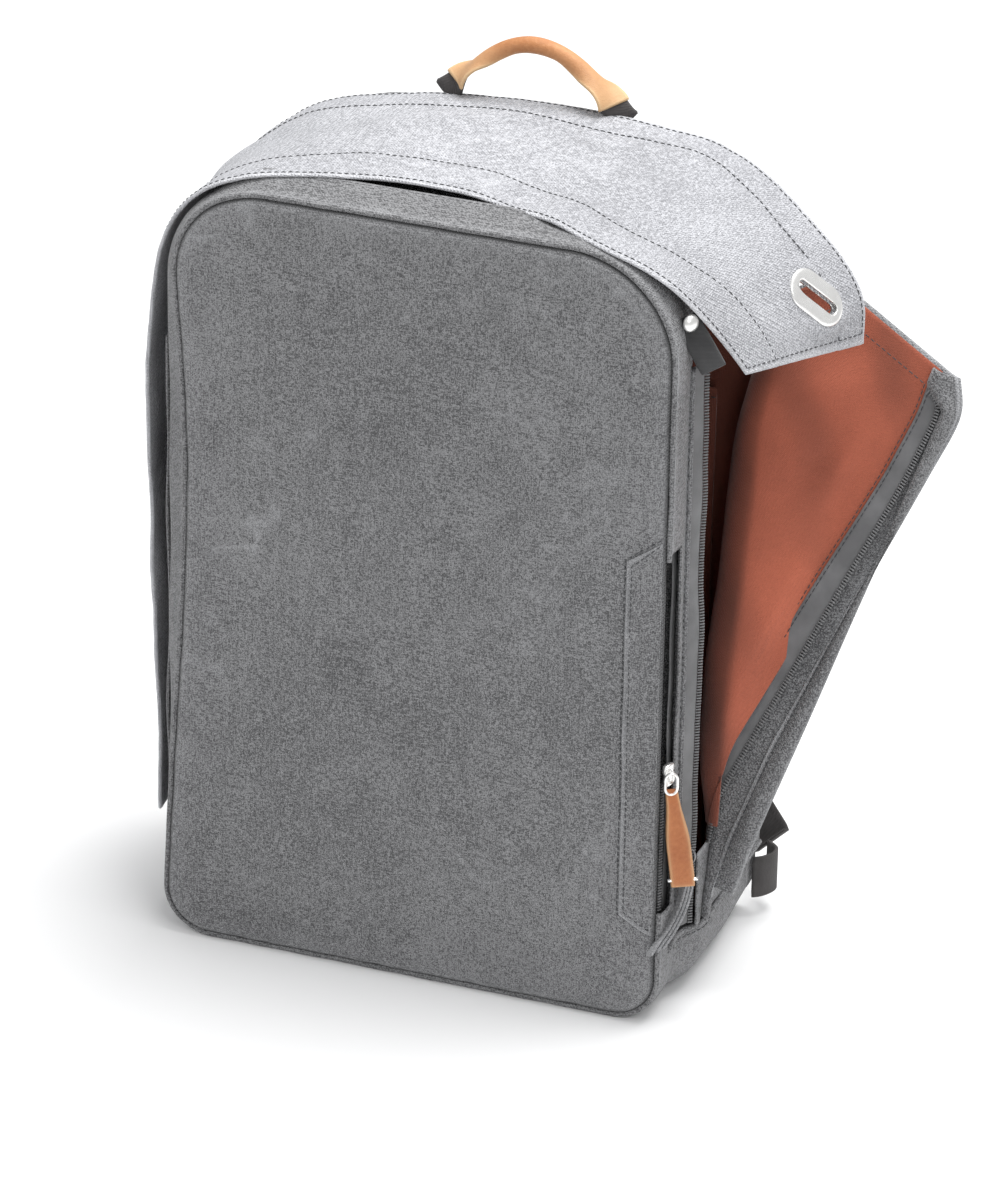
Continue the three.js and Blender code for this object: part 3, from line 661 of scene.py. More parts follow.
def settle(piece, held, cap):
    """Cloth simulation: the cover swells over its filling between the seams that hold it.

    held is true for the vertices in a seam, and no vertex moves further than the cap, in millimetres.
    """
    scene, mesh = bpy.context.scene, piece.data
    sewn = piece.vertex_groups.new(name="sewn")
    sewn.add(np.flatnonzero(held).tolist(), 1.0, "REPLACE")
    modifier = piece.modifiers.new("settle", "CLOTH")
    modifier.point_cache.frame_end = SETTLE["frames"]
    modifier.settings.vertex_group_mass = sewn.name
    modifier.settings.use_pressure = True
    modifier.settings.uniform_pressure_force = SETTLE["pressure"]
    modifier.settings.effector_weights.gravity = 0
    for number in range(1, SETTLE["frames"] + 1):
        scene.frame_set(number)
    evaluated = piece.evaluated_get(bpy.context.evaluated_depsgraph_get())
    before, after = np.empty(3 * len(mesh.vertices)), np.empty(3 * len(mesh.vertices))
    mesh.vertices.foreach_get("co", before)
    evaluated.data.vertices.foreach_get("co", after)
    move = (after - before).reshape(-1, 3)
    reach = np.linalg.norm(move, axis=1, keepdims=True)
    move = move * np.minimum(1, cap * MM / np.maximum(reach, 1e-9))
    piece.modifiers.remove(modifier)
    piece.vertex_groups.remove(sewn)
    mesh.vertices.foreach_set("co", before + move.reshape(-1))
    mesh.update()
    scene.frame_set(1)


def declare(piece, body, replaced=()):
    if body:
        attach(piece, body)
    if replaced:
        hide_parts(*replaced)
    return piece


def cut_cloth(name, grid, thickness, slot, body, *, replaced=(), held="stretched", rests_on=(), **looks):
    """A cloth piece that rides on a body and stands for CAD nodes."""
    piece = cloth(name, grid, thickness, slot, **looks)
    declare(piece, body, replaced)
    return piece


def seam(name, line, facing, body="shell"):
    """A row of stitches that all face one way, riding on a body."""
    return declare(stitches(name, line, np.broadcast_to(facing, line.shape)), body)


# ---- Dimensions of the bag, in millimetres -------------------------------------------------

# Outlines in (x, z): half width, base, top, and the radii of the top and bottom corners.
FRONT = {"half": 148, "low": 0, "high": 465, "top": 62, "bottom": 28}
MAIN = {"half": 156, "low": 0, "high": 456, "top": 105, "bottom": 28}
BACK = {"half": 156, "low": 0, "high": 471, "top": 108, "bottom": 28}
FRONT_Y = -75
DIVIDER_Y = -47.7
BACK_Y = 71
BASE_TOP = 48
WALL_TOP = 357
PANEL_INSET = 3
CANVAS = 1.6
SLIT = {"low": 68, "high": 292, "y": -57, "beyond_x": 130}
WELT = {"inner": 125, "outer": 143.5, "slope": 10, "rolls_at": 141}
SIDE_X = 159


def place(x, y, z):
    """Stacks coordinates of any matching shapes into points."""
    return np.stack(np.broadcast_arrays(x, y, z), axis=-1).astype(float)


def outline_normals(path):
    """Directions out of a closed outline in (x, z)."""
    along = unit(np.roll(path, -1, axis=0) - np.roll(path, 1, axis=0))
    return np.stack([along[:, 1], -along[:, 0]], axis=1)


def band(path, out, depths, bulge=0.0, seed=1, wave=0.5):
    """A band of cloth round an outline, from the first depth in y to the last."""
    t = np.linspace(0, 1, len(depths))
    grid = place(path[:, None, 0], depths[None, :], path[:, None, 1])
    arch = np.sin(math.pi * t)[None, :]
    swell = bulge * arch + wave * ripple(grid, 70, seed) * arch
    grid[..., 0] += out[:, None, 0] * swell
    grid[..., 2] += out[:, None, 1] * swell
    return grid


# ---- Front compartment ---------------------------------------------------------------------


POCKET_PULL = {"most": 12.5, "low": 20, "length": 440}


def drawn_in(points):
    """The soft front pocket is drawn in along its left edge, most of all above the middle."""
    share = np.clip((points[..., 2] - POCKET_PULL["low"]) / POCKET_PULL["length"], 0, 1)
    pull = POCKET_PULL["most"] * np.sin(math.pi * share**1.4) * smoothstep(-70, -150, points[..., 0])
    pull = pull * smoothstep(-56, -71, points[..., 1])
    return points + pull[..., None] * X


PANEL_CROWN = {"rise": 5.5, "reach": 130}
PANEL_ROLL = {"depth": 3.4, "reach": 2.2}


def panel_y(x, z):
    """The front panel's outer face: a soft crown, rolled edges, slack ripples and seam puckers."""
    inside = edge_distance(FRONT, x, z, PANEL_INSET)
    spot = place(x, 0 * x, z)
    crown = PANEL_CROWN["rise"] * smoothstep(0, PANEL_CROWN["reach"], inside)
    roll = PANEL_ROLL["depth"] * np.exp(-np.maximum(inside, 0) / PANEL_ROLL["reach"])
    slack = 1.5 * ripple(spot, 190, 11) + 0.75 * ripple(spot, 75, 12)
    slack = (slack + 0.12 * ripple(spot, 22, 14)) * smoothstep(0, 25, inside)
    puckers = 0.45 * ripple(spot, 13, 13) * np.exp(-np.maximum(inside, 0) / 8)
    return FRONT_Y + roll - crown - slack - puckers


def make_front_panel():
    """Columns crowd towards the sides, and rows towards the top and the base, where the edge rolls."""
    columns, rows = 150, 200
    height = FRONT["high"] - FRONT["low"] - 2 * PANEL_INSET
    z = FRONT["low"] + PANEL_INSET + eased_steps(rows) * height
    share = np.sin(math.pi / 2 * np.linspace(-1, 1, columns))
    share = 0.5 * share + 0.5 * np.linspace(-1, 1, columns)
    x = share[:, None] * half_width(FRONT, z, PANEL_INSET)[None, :]
    z = np.broadcast_to(z, x.shape)
    grid = drawn_in(place(x, panel_y(x, z), z))
    inside = np.maximum(edge_distance(FRONT, x, z, PANEL_INSET), 0)
    # The shade attribute paints shade into the groove along the panel's edge seam; the wear attribute pales
    # the edge.
    cut_cloth("front_panel_cloth", grid, CANVAS, "canvas", "shell", replaced=["front_panel"],
              wear=0.35 * np.exp(-inside / 5), shade=0.95 * np.exp(-(inside / 1.3) ** 2))


def make_front_piping():
    """The cord in the seam stops where the pocket opens beside it."""
    path = rounded_outline(FRONT, 1.5, 500)
    x, z = path.T
    beside = (x > SLIT["beyond_x"]) & (z > SLIT["low"] + 3) & (z < SLIT["high"] - 4)
    order = np.roll(np.arange(len(path)), -int(np.argmax(beside)))
    path = path[order[~beside[order]]]
    y = FRONT_Y + 4.0 + 0.35 * ripple(place(path[:, 0], 0, path[:, 1]), 30, 21)
    piping = tube("front_piping_cord", drawn_in(place(path[:, 0], y, path[:, 1])), 1.5, "canvas")
    declare(piping, "shell", ["front_piping"])


GUSSET_LEAN = 5.0


def make_front_gusset():
    path = rounded_outline(FRONT, 0, 640)
    out = outline_normals(path)
    depths = np.linspace(DIVIDER_Y - 0.2, FRONT_Y + 4.4, 26)
    grid = band(path, out, depths, 1.3, 22, 0.7)
    # The top leans up towards the lid's front edge.
    lean = GUSSET_LEAN * smoothstep(0.8, 1, out[:, None, 1]) * smoothstep(80, 40, path[:, None, 0])
    grid[..., 2] += lean * smoothstep(-68, -48, depths)[None, :]
    grid = drawn_in(grid)
    middle = (grid[:, 1:] + grid[:, :-1]) / 2
    skip = ((middle[..., 0] > SLIT["beyond_x"]) & (middle[..., 1] < SLIT["y"])
            & (middle[..., 2] > SLIT["low"]) & (middle[..., 2] < SLIT["high"]))
    wear = np.exp(-np.abs(depths - depths[-1]) / 1.5)[None, :] * 0.6
    cut_cloth("front_gusset_cloth", grid, CANVAS, "canvas", "shell", replaced=["front_gusset"], closed=True,
              skip=skip, wear=wear)
    line = grid[:, int(np.argmin(np.abs(depths - DIVIDER_Y + 3)))]
    ups = place(out[:, 0], 0, out[:, 1])
    declare(stitches("gusset_seam", line + 0.1 * ups, ups, closed=True, material="pale_thread"), "shell")


def make_pocket_welt():
    """The strip of canvas beside the pocket's mouth, with two rows of stitches."""
    t = np.linspace(0, 1, 90)
    u = np.linspace(0, 1, 16)
    low = SLIT["low"] - WELT["slope"] * u
    high = SLIT["high"] - 5 + WELT["slope"] * 1.25 * u
    x = WELT["inner"] + (WELT["outer"] - WELT["inner"]) * u[:, None] + 0 * t[None, :]
    z = low[:, None] + (high - low)[:, None] * t[None, :]
    fold = smoothstep(0.75, 1, u)[:, None]
    y = panel_y(np.minimum(x, WELT["rolls_at"]), z) - 1.5 + 1.2 * fold**2
    y = y + 0.3 * ripple(place(x, 0, z), 40, 24)
    edge = np.minimum(np.minimum(t, 1 - t)[None, :] * 240, (u * 18)[:, None])
    cut_cloth("pocket_welt_cloth", place(x, y, z), 1.3, "canvas", "shell", replaced=["pocket_welt"],
              wear=0.8 * np.exp(-edge / 1.5))
    inset = 2.4
    corners = np.array([(WELT["outer"] - 1, SLIT["high"] + WELT["slope"] - inset - 0.8),
                        (WELT["inner"] + inset, SLIT["high"] - 5 - inset),
                        (WELT["inner"] + inset, SLIT["low"] + inset),
                        (WELT["outer"] - 1, SLIT["low"] - WELT["slope"] + inset + 0.8)])
    # The second row runs outside the first, on the panel.
    for name, shift, lift in (("welt_seam_inner", 0.0, -1.55), ("welt_seam_outer", -4.2, -0.1)):
        moves = [[0, -shift * 0.7], [shift, -shift * 0.7], [shift, shift * 0.7], [0, shift * 0.7]]
        x, z = resample(corners + moves, 160).T
        seam(name, place(x, panel_y(np.minimum(x, WELT["rolls_at"]), z) + lift, z), -Y)


POCKET_ZIP = {"front_x": 132, "rear_x": 143.9, "tape": 10, "teeth": (143.6, -62.5), "closed_to": 147}


def make_pocket_zip():
    """Two tapes inside the mouth, and teeth up to the slider."""
    z = np.linspace(SLIT["low"] - 2, SLIT["high"] + 2, 70)
    spread = np.linspace(0, 1, 5)
    sway = 0.6 * ripple(place(0, 0, z), 60, 26)
    across = POCKET_ZIP["front_x"] + POCKET_ZIP["tape"] * spread
    front = place(across[:, None] + sway[None, :], -68.2 + 1.4 * spread[:, None], z[None, :])
    cut_cloth("pocket_tape_front", front, 0.7, "zip_tape", "shell", replaced=["pocket_zip_tape_front"])
    depth = DIVIDER_Y - 1.2 - 7.6 * spread
    rear = place(POCKET_ZIP["rear_x"] + 0.4 * sway[None, :], depth[:, None], z[None, :])
    cut_cloth("pocket_tape_rear", rear[::-1], 0.7, "zip_tape", "shell", replaced=["pocket_zip_tape_rear"])
    path = place(*POCKET_ZIP["teeth"], np.linspace(SLIT["low"], POCKET_ZIP["closed_to"], 60))
    facing = np.broadcast_to(unit(np.array([1, -0.5, 0.0])), path.shape)
    declare(teeth("pocket_teeth", path, facing), "shell", ["pocket_zip_chain"])


# ---- Main compartment ----------------------------------------------------------------------


def step_in(y):
    """How far the side comes in to meet the narrower front compartment."""
    return (MAIN["half"] - FRONT["half"]) * smoothstep(-22, DIVIDER_Y, y)


def make_base_band():
    """The base and the low band round both sides, with its piping."""
    path = rounded_outline(MAIN, 0, 900)
    order = np.roll(np.arange(len(path)), len(path) // 2)
    out = outline_normals(path)
    keep = [k for k in order if path[k, 1] < BASE_TOP + 0.6]
    depths = np.linspace(BACK_Y - 0.3, DIVIDER_Y + 0.3, 44)
    grid = band(path[keep], out[keep], depths, 1.5, 31, 0.9)
    side = np.sign(grid[..., 0]) * smoothstep(90, 150, np.abs(grid[..., 0]))
    grid[..., 0] -= side * step_in(depths)[None, :]
    wear = 0.5 * np.exp(-np.abs(grid[..., 2]) / 10)
    # The shade attribute paints a line of shade along the band's top edge, round the piping's seam.
    cut_cloth("base_cloth", grid, CANVAS, "canvas", "shell", replaced=["base_panel"], wear=wear,
              shade=smoothstep(BASE_TOP - 6, BASE_TOP - 4.5, grid[..., 2]))
    for name, side in (("base_piping_left", -1), ("base_piping_right", 1)):
        y = np.linspace(-60, BACK_Y - 1, 60)
        reach = (157.0 if side < 0 else 159.2) - step_in(y) * (1.0 if side < 0 else 1.2)
        z = BASE_TOP - 3 + 0.8 * ripple(place(0, y, 0), 50, 33)
        declare(tube(name, place(side * reach, y, z), 1.7, "canvas", up=Z), "shell")
        seam(name + "_seam", place(side * (reach - 0.6), y, z - 4.5), side * X)


def make_left_wall():
    z = np.linspace(BASE_TOP - 2, WALL_TOP, 60)
    depths = np.linspace(DIVIDER_Y + 2.5, BACK_Y - 0.4, 26)
    grid = place(-MAIN["half"], depths[None, :], z[:, None])
    grid[..., 0] -= 1.2 * ripple(grid, 80, 34) * np.sin(math.pi * np.linspace(0, 1, 60))[:, None]
    cut_cloth("left_wall_cloth", grid, 2.2, "canvas", "shell", replaced=["left_wall"])


def make_top_cloth():
    path = rounded_outline(MAIN, 1.0, 900)
    out = outline_normals(path)
    opening = (path[:, 0] > 100) & (path[:, 1] < 402)
    keep = np.flatnonzero((path[:, 1] > WALL_TOP) & ~opening)[::-1]
    grid = band(path[keep], out[keep], np.linspace(-45, BACK_Y - 0.4, 24), 0.0, 35, 0.4)
    cut_cloth("top_cloth", grid, 2.0, "canvas", "shell", replaced=["top_panel"])


def flat_sheet(size, inset, y, seed, wave, face=-1):
    """A sheet in the (x, z) plane inside an outline, facing -y, or +y when face is 1."""
    columns, rows = 90, 120
    bottom, top = size["low"] + inset, size["high"] - inset
    z = bottom + (top - bottom) * eased_steps(rows)
    x = np.linspace(-1, 1, columns)[:, None] * half_width(size, z, inset)[None, :]
    z = np.broadcast_to(z, x.shape)
    grid = place(x, y, z)
    fade = smoothstep(0, 30, edge_distance(size, x, z, inset))
    grid[..., 1] += wave * ripple(grid, 85, seed) * fade
    return grid if face < 0 else grid[::-1]


SLEEVE = {"half": 128, "low": 8, "high": 330, "y": 53.0, "belly": 6}


def make_inner_sheets():
    """The divider, the two linings of the main space and the laptop sleeve."""
    divider = flat_sheet(FRONT, 0.4, DIVIDER_Y, 41, 0.0)
    cut_cloth("divider_cloth", divider, 1.4, "canvas", "shell", replaced=["divider_panel"])
    lining = flat_sheet(MAIN, 12, DIVIDER_Y + 4.2, 42, 0.9, face=1)
    cut_cloth("divider_lining_cloth", lining, 0.7, "rust_lining", "shell", replaced=["divider_lining"])
    back = flat_sheet(MAIN, 3.5, 63.6, 43, 0.6)
    # Painted shade: the lining deep inside the bag is darkened to stand for the shadow there.
    cut_cloth("back_lining_cloth", back, 0.7, "rust_lining", "shell", replaced=["back_lining"], shade=0.75)
    over, up = np.linspace(0, 1, 60)[:, None], np.linspace(0, 1, 70)[None, :]
    x = np.linspace(-SLEEVE["half"], SLEEVE["half"], 60)
    sleeve = place(x[:, None], SLEEVE["y"], np.linspace(SLEEVE["low"], SLEEVE["high"], 70)[None, :])
    belly = np.sin(math.pi * over) * smoothstep(0, 1, up)
    sleeve[..., 1] += 5 - SLEEVE["belly"] * belly + 0.8 * ripple(sleeve, 90, 44)
    # Painted shade: the sleeve deep inside the bag is darkened to stand for the shadow there.
    cut_cloth("laptop_sleeve_cloth", sleeve, 1.6, "rust_lining", "shell", replaced=["laptop_sleeve"],
              shade=0.8)
    seam("sleeve_hem_seam", sleeve[:, -1] - [0, 0.2, 5], -Y)


# ---- The opened side -----------------------------------------------------------------------

# The leaf's fold, in (y, z). FOLD_REACH is how far the bend goes to each side of it.
FOLD_LOW = np.array([-34.0, 52.0])
FOLD_HIGH = np.array([66.0, 390.0])
FOLD_ALONG = unit(FOLD_HIGH - FOLD_LOW)
FOLD_BACK = np.array([FOLD_ALONG[1], -FOLD_ALONG[0]])
FOLD_RADIUS = 4.0
LEAF_HANG = 6
HINGE_X = 156.1
FOLD_REACH = SIDE_X - HINGE_X + FOLD_RADIUS
FOLD_LENGTH = float(np.linalg.norm(FOLD_HIGH - FOLD_LOW))
LEAF_LOW, LEAF_TOP = 52, 392
# Lines of the leaf, as y at each height: its free edge, its half of the zip, and its lining's edge.
LEAF_EDGE = {52: -38, 100: -34, 160: -35, 210: -39.5, 264: -45, 330: -52, 366: -56.5, 378: -56, 387: -52,
             392: -45}
CHAIN = {68: -33, 90: -25, 117: -19, 154: -23, 207: -29.5, 258: -35, 326: -43, 369: -45.5, 385: -44}
TAPE_LOW = 94
LINING_EDGE = {52: -24, 150: -16, 250: -27, 320: -35, 392: -38}


def open_side(y, z, depth=0.0):
    """Takes a point of the closed side, depth in from its outer face, to the opened side."""
    rel = np.stack(np.broadcast_arrays(y - FOLD_LOW[0], z - FOLD_LOW[1]), axis=-1).astype(float)
    along, behind = rel @ FOLD_ALONG, rel @ FOLD_BACK
    share = np.clip(along / FOLD_LENGTH, 0, 1)
    turn = np.clip((FOLD_REACH - behind) / (2 * FOLD_REACH), 0, 1) * math.pi / 2
    radius = FOLD_RADIUS + depth
    x = SIDE_X + FOLD_RADIUS - radius * np.cos(turn)
    moved = FOLD_REACH - radius * np.sin(turn)
    beyond = np.maximum(-behind - FOLD_REACH, 0)
    spot = place(along, beyond, 0)
    hang = LEAF_HANG * np.sin(math.pi * share) * np.clip(beyond / 90, 0, 1) ** 1.5
    soft = 1.3 * ripple(spot, 95, 51) * smoothstep(0, 30, beyond)
    moved = np.where(behind > FOLD_REACH, behind, moved) + hang + soft
    wave = np.where(behind > FOLD_REACH, 0.8 * ripple(place(along, behind, 0), 80, 52), 0)
    x = x + beyond + wave * smoothstep(FOLD_REACH, 30, behind)
    return place(x, FOLD_LOW[0] + FOLD_ALONG[0] * along + FOLD_BACK[0] * moved,
                 FOLD_LOW[1] + FOLD_ALONG[1] * along + FOLD_BACK[1] * moved)


def along_height(points, z):
    """Where a line of the leaf lies in y at a height, eased between its named points."""
    heights = np.array(sorted(points), float)
    reach = np.array([points[height] for height in sorted(points)], float)
    fine = np.linspace(heights[0], heights[-1], 240)
    eased = np.interp(fine, heights, reach)
    kernel = np.hanning(25) / np.hanning(25).sum()
    eased = np.convolve(np.pad(eased, 12, mode="edge"), kernel, mode="valid")
    return np.interp(z, fine, eased)


def chain_y(z):
    """The leaf's half of the zip."""
    return along_height(CHAIN, z)


def hem_rise(y):
    """The leaf's top edge climbs from its free corner towards the fold."""
    return 15.5 * np.clip((y + 44) / 62, 0, 1) * smoothstep(64, 42, y)


SIDE_COLUMNS = (26, 10, 44)


def side_grid(shares, back_edge, front_edge, depth, rise=None):
    """Rows along the fold, each from the back edge over the fold to the front edge."""
    s = np.asarray(shares)[:, None, None]
    fold = FOLD_LOW + (FOLD_HIGH - FOLD_LOW) * s
    back = np.array(back_edge[0]) + (np.array(back_edge[1]) - back_edge[0]) * s
    height = LEAF_LOW + (LEAF_TOP - LEAF_LOW) * s
    front = np.concatenate([along_height(front_edge, height), height], axis=-1)
    back_reach = ((back - FOLD_LOW) @ FOLD_BACK)[..., None]
    near = fold + FOLD_BACK * np.minimum(FOLD_REACH, back_reach - 0.5)
    far = fold - FOLD_BACK * FOLD_REACH
    parts = []
    for a, b, count in zip((back, near, far), (near, far, front), SIDE_COLUMNS):
        t = np.linspace(0, 1, count, endpoint=b is front)[None, :, None]
        parts.append(a + (b - a) * t)
    flat = np.concatenate(parts, axis=1)
    flat[..., 1] += hem_rise(flat[..., 0]) * smoothstep(0.8, 1, s[..., 0])
    if rise is not None:
        depth = depth + rise(flat[..., 0], flat[..., 1])
    return open_side(flat[..., 0], flat[..., 1], depth)


def fold_window():
    """Start and end of the bend between the side and the leaf."""
    middle = (FOLD_LOW + FOLD_HIGH) / 2
    start, end = middle + FOLD_BACK * FOLD_REACH, middle + FOLD_BACK * (SIDE_X - HINGE_X)
    return (place(SIDE_X, *start) * MM).tolist(), (place(SIDE_X + FOLD_RADIUS, *end) * MM).tolist()


def make_side_cloth():
    grid = side_grid(np.linspace(0, 1, 130), ((70.7, 42), (70.7, 392)), LEAF_EDGE, 0.0)
    wear = np.zeros(grid.shape[:2])
    wear[:, -3:] = [0.3, 0.7, 1.0]
    wear[-2:] = 0.8
    piece = cut_cloth("side_and_leaf_cloth", grid, 2.2, "canvas", None, replaced=["side_panel", "side_leaf"],
                      wear=wear, held="folded")
    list(fold_window())
    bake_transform(piece)


def lining_folds(y, z):
    """Soft slanting folds of the lining, always towards the inside of the bag."""
    spot = place(0.9 * y + 0.75 * z, 0.25 * (y - z), 0)
    inner = smoothstep(-19, -5, y) * smoothstep(60, 110, z) * smoothstep(385, 350, z)
    behind = (y - FOLD_LOW[0]) * FOLD_BACK[0] + (z - FOLD_LOW[1]) * FOLD_BACK[1]
    slack = 11 * np.exp(-((behind / 26) ** 2)) * smoothstep(70, 170, z) * smoothstep(70, 40, y)
    free = 0.2 + 0.8 * smoothstep(5, 45, -behind)
    return (2.6 + (3.4 * ripple(spot, 58, 53) + 0.9 * ripple(spot, 25, 54)) * free) * inner + slack


def make_side_lining():
    grid = side_grid(np.linspace(0.15, 0.995, 130), ((67, 50), (67, 391)), LINING_EDGE, 2.5,
                     rise=lining_folds)
    # Painted shade: the lining's inner part behind the fold is darkened, and slanting bands darken it along
    # its folds.
    inner_side = smoothstep(8, 0, grid[..., 0] - SIDE_X)
    crease = place(0.8 * grid[..., 0] + 0.5 * grid[..., 2], 0.3 * (grid[..., 0] - grid[..., 2]), 0)
    shade = np.clip(0.6 * inner_side + 0.3 * ripple(crease, 40, 54), 0, 1)
    piece = cut_cloth("side_lining_cloth", grid[::-1], 0.8, "rust_lining", None, shade=shade[::-1],
                      replaced=["side_lining", "leaf_lining"], held="folded")
    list(fold_window())
    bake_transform(piece)


def leaf_row(y, z, depth):
    """A path on the open leaf with the normal of its inner face."""
    points = open_side(y, z, depth)
    normals = unit(open_side(y, z, depth + 1) - points)
    return points, normals


def tape_width(z):
    """The leaf's zip tape narrows towards the top."""
    return np.interp(z, [TAPE_LOW, 150, 250, 360], [17, 17, 14, 10.5])


def make_leaf_zip():
    """The leaf's tape and teeth, and the stitches along the tape, the lining's edge and the hem."""
    z = np.linspace(TAPE_LOW, 384, 90)
    across = chain_y(z)[:, None] + 1.2 + (tape_width(z)[:, None] - 1.2) * np.linspace(0, 1, 8)[None, :]
    grid = open_side(across, z[:, None] + 0 * across, 4.6)
    cut_cloth("leaf_tape_cloth", grid, 0.8, "zip_tape", "leaf", replaced=["leaf_zip_tape"])
    z = np.linspace(TAPE_LOW, 366, 80)
    line = np.vstack([np.stack([chain_y(z), z], axis=1), [(-44, 374), (-40, 378), (-35.5, 379)]])
    line = resample(line, 400)
    points, normals = leaf_row(line[:, 0], line[:, 1], 5.6)
    declare(teeth("leaf_teeth", points, normals), "leaf", ["leaf_zip_chain"])
    for name, offset, low, depth in (("lining_edge_seam", 2.0, 112, 4.1), ("tape_edge_seam", -1.4, 104, 5.0)):
        z = np.linspace(low, 382, 200)
        points, normals = leaf_row(chain_y(z) + (tape_width(z) + offset), z, depth)
        declare(stitches(name, points, normals), "leaf")
    y = np.linspace(-31, 50, 60)
    hem = LEAF_TOP + hem_rise(y) - 13
    points, normals = leaf_row(y, hem, 4.4)
    declare(stitches("leaf_hem_seam", points, normals), "leaf")


def make_leaf_placket():
    """The folded canvas border that covers the zip when the side is shut."""
    z = np.linspace(72, LEAF_TOP, 130)
    edge = along_height(LEAF_EDGE, z) + 0.6
    corner = -34 - 14 * smoothstep(384, 372, z)
    inner = np.where(z > 372, corner, np.minimum(chain_y(z) - 2.6, corner))
    t = np.linspace(0, 1, 18)
    y = inner[:, None] * (1 - t)[None, :] + edge[:, None] * t[None, :]
    plump = 3.0 * np.sin(math.pi * np.minimum(t * 1.25, 1))[None, :] ** 0.8
    plump = plump * smoothstep(70, 110, z)[:, None]
    slack = 0.7 * ripple(place(0, y, z[:, None]), 34, 56) * np.sin(math.pi * t)[None, :]
    depth = 4.0 - 2.5 * smoothstep(100, 74, z)[:, None] + plump + slack
    grid = open_side(y, z[:, None] + 0 * y, depth)
    wear = np.array([0.7, 0.35] + [0] * 13 + [0.2, 0.6, 1.0])[None, :]
    cut_cloth("leaf_placket_cloth", grid, 1.9, "canvas", "leaf", wear=wear)
    points, normals = leaf_row(inner * 0.16 + edge * 0.84, z, 4.6)
    declare(stitches("placket_seam", points, normals), "leaf")


BODY_ZIP = {"low": 50, "high": 394, "x": 148.8, "teeth_y": -38.6}


def make_body_zip():
    """The body's half of the side zip: its tape, its teeth and the ridge of canvas beside them."""
    z = np.linspace(BODY_ZIP["low"], BODY_ZIP["high"], 150)
    wave = 1.5 * ripple(place(0, 0, z), 130, 58) + 0.4 * ripple(place(0, 0, z), 38, 59)
    pinch = smoothstep(150, 60, z) * 2.0
    t = np.linspace(0, 1, 8)
    x = BODY_ZIP["x"] + (5.0 + wave - pinch)[None, :] * t[:, None]
    y = DIVIDER_Y - 0.4 + 8.2 * t[:, None] ** 1.4 + 0 * z[None, :]
    cut_cloth("body_tape_cloth", place(x, y, z[None, :]), 0.8, "zip_tape", "shell",
              replaced=["body_zip_tape"])
    path = place(x[-1] + 1.0, BODY_ZIP["teeth_y"], z)
    top = np.array([[0.6, -39.2, 397], [-0.6, -41, 400], [-2.6, -43.5, 402]]) + x[-1, -1] * X
    path = resample(np.vstack([path, top]), 500)
    facing = np.broadcast_to(unit(np.array([0.75, -0.9, 0.3])), path.shape)
    declare(teeth("body_teeth", path, facing), "shell", ["body_zip_chain"])
    ridge = place(BODY_ZIP["x"] + 0.5, DIVIDER_Y - 1.2, z)
    declare(tube("body_zip_ridge", ridge, 1.5, "canvas", up=X), "shell")


END_TAB_LINE = [(155.5, -49, 84), (154.5, -55, 71), (151.5, -64, 60), (147.5, -73.5, 52), (145.5, -79, 47.5)]
END_TAB_LAYERS = {"upper": 2.1, "middle": 0.0, "lower": -2.1}


def make_end_tab():
    """Folded canvas that closes the bottom of the zip and runs down to the pocket's corner."""
    path = smooth_curve(END_TAB_LINE, 40)
    along = unit(np.gradient(path, axis=0))
    out = unit(np.array([0.62, -0.62, 0.35]))
    side = unit(np.cross(along, out))
    # Each layer is a little shorter and narrower than the one above it.
    for k, (name, shift) in enumerate(END_TAB_LAYERS.items()):
        part = slice(40 - 3 * k)
        across = unit(out - along[part] * (along[part] @ out)[:, None])
        grid = strap_grid(path[part] + side[part] * shift, across, 5.6 - 0.5 * k)
        cut_cloth(f"end_tab_{name}", grid, 1.5, "canvas", "shell", held="folded", wear=0.85,
                  replaced=["zip_end_tab"] if k == 0 else [])


ZIP_FOOT = {"low": 47, "high": 93, "front": -37.5, "x": 156.6}


def make_zip_foot():
    """The canvas that fills the narrow foot of the side opening behind the zip."""
    z = np.linspace(ZIP_FOOT["low"], ZIP_FOOT["high"], 24)
    run, rise = FOLD_HIGH - FOLD_LOW
    fold_y = FOLD_LOW[0] + run * (z - FOLD_LOW[1]) / rise
    t = np.linspace(0, 1, 14)
    y = ZIP_FOOT["front"] + (fold_y[:, None] + 3 - ZIP_FOOT["front"]) * t[None, :]
    x = ZIP_FOOT["x"] + 0.5 * ripple(place(0, y, z[:, None]), 22, 57)
    cut_cloth("zip_foot_cloth", place(x, y, z[:, None]), 1.4, "canvas", "shell",
              wear=smoothstep(ZIP_FOOT["high"] - 4, ZIP_FOOT["high"], z)[:, None])


# ---- Lid and flap --------------------------------------------------------------------------

LID_BACK_Y = 70.5
FLAP_BACK_Y = 46
# The lid's long edges, from its low left end to the tip of the flap: (x, y, z), then (x, z).
LID_FRONT = [(-159.5, -44, 60), (-163, -44, 200), (-167, -44, 320), (-164, -44, 385), (-153.5, -53, 424),
             (-131, -61, 452), (-104, -60, 466), (-70, -52, 471), (-37, -46, 472), (16, -44, 471),
             (46, -47, 466), (74.5, -56.5, 468), (102.5, -67.5, 465), (126, -66.5, 455.5),
             (143.5, -62.5, 442), (156, -55, 426), (168.5, -48, 407.5), (177, -44, 394)]
LID_BACK = [(-160, 60), (-160, 200), (-160, 330), (-158, 370), (-147, 421), (-123, 446), (-96, 461),
            (-55, 472), (-30, 475), (20, 477), (72, 477), (96, 475), (120, 472), (151, 463),
            (178, 450), (199, 429), (212, 406), (214, 379)]
# Shares of the lid's length: where its stretch begins, its shoulder, its seam with the flap, the hinge.
STRETCH_SHARE, SHOULDER_SHARE, SEAM_SHARE, HINGE_SHARE = 0.6, 0.915, 0.93, 0.945
LID_THICKNESS = 2.1
HEM = {"front": 26.0, "back": 21.0}
EDGE_SEAM = 2.2


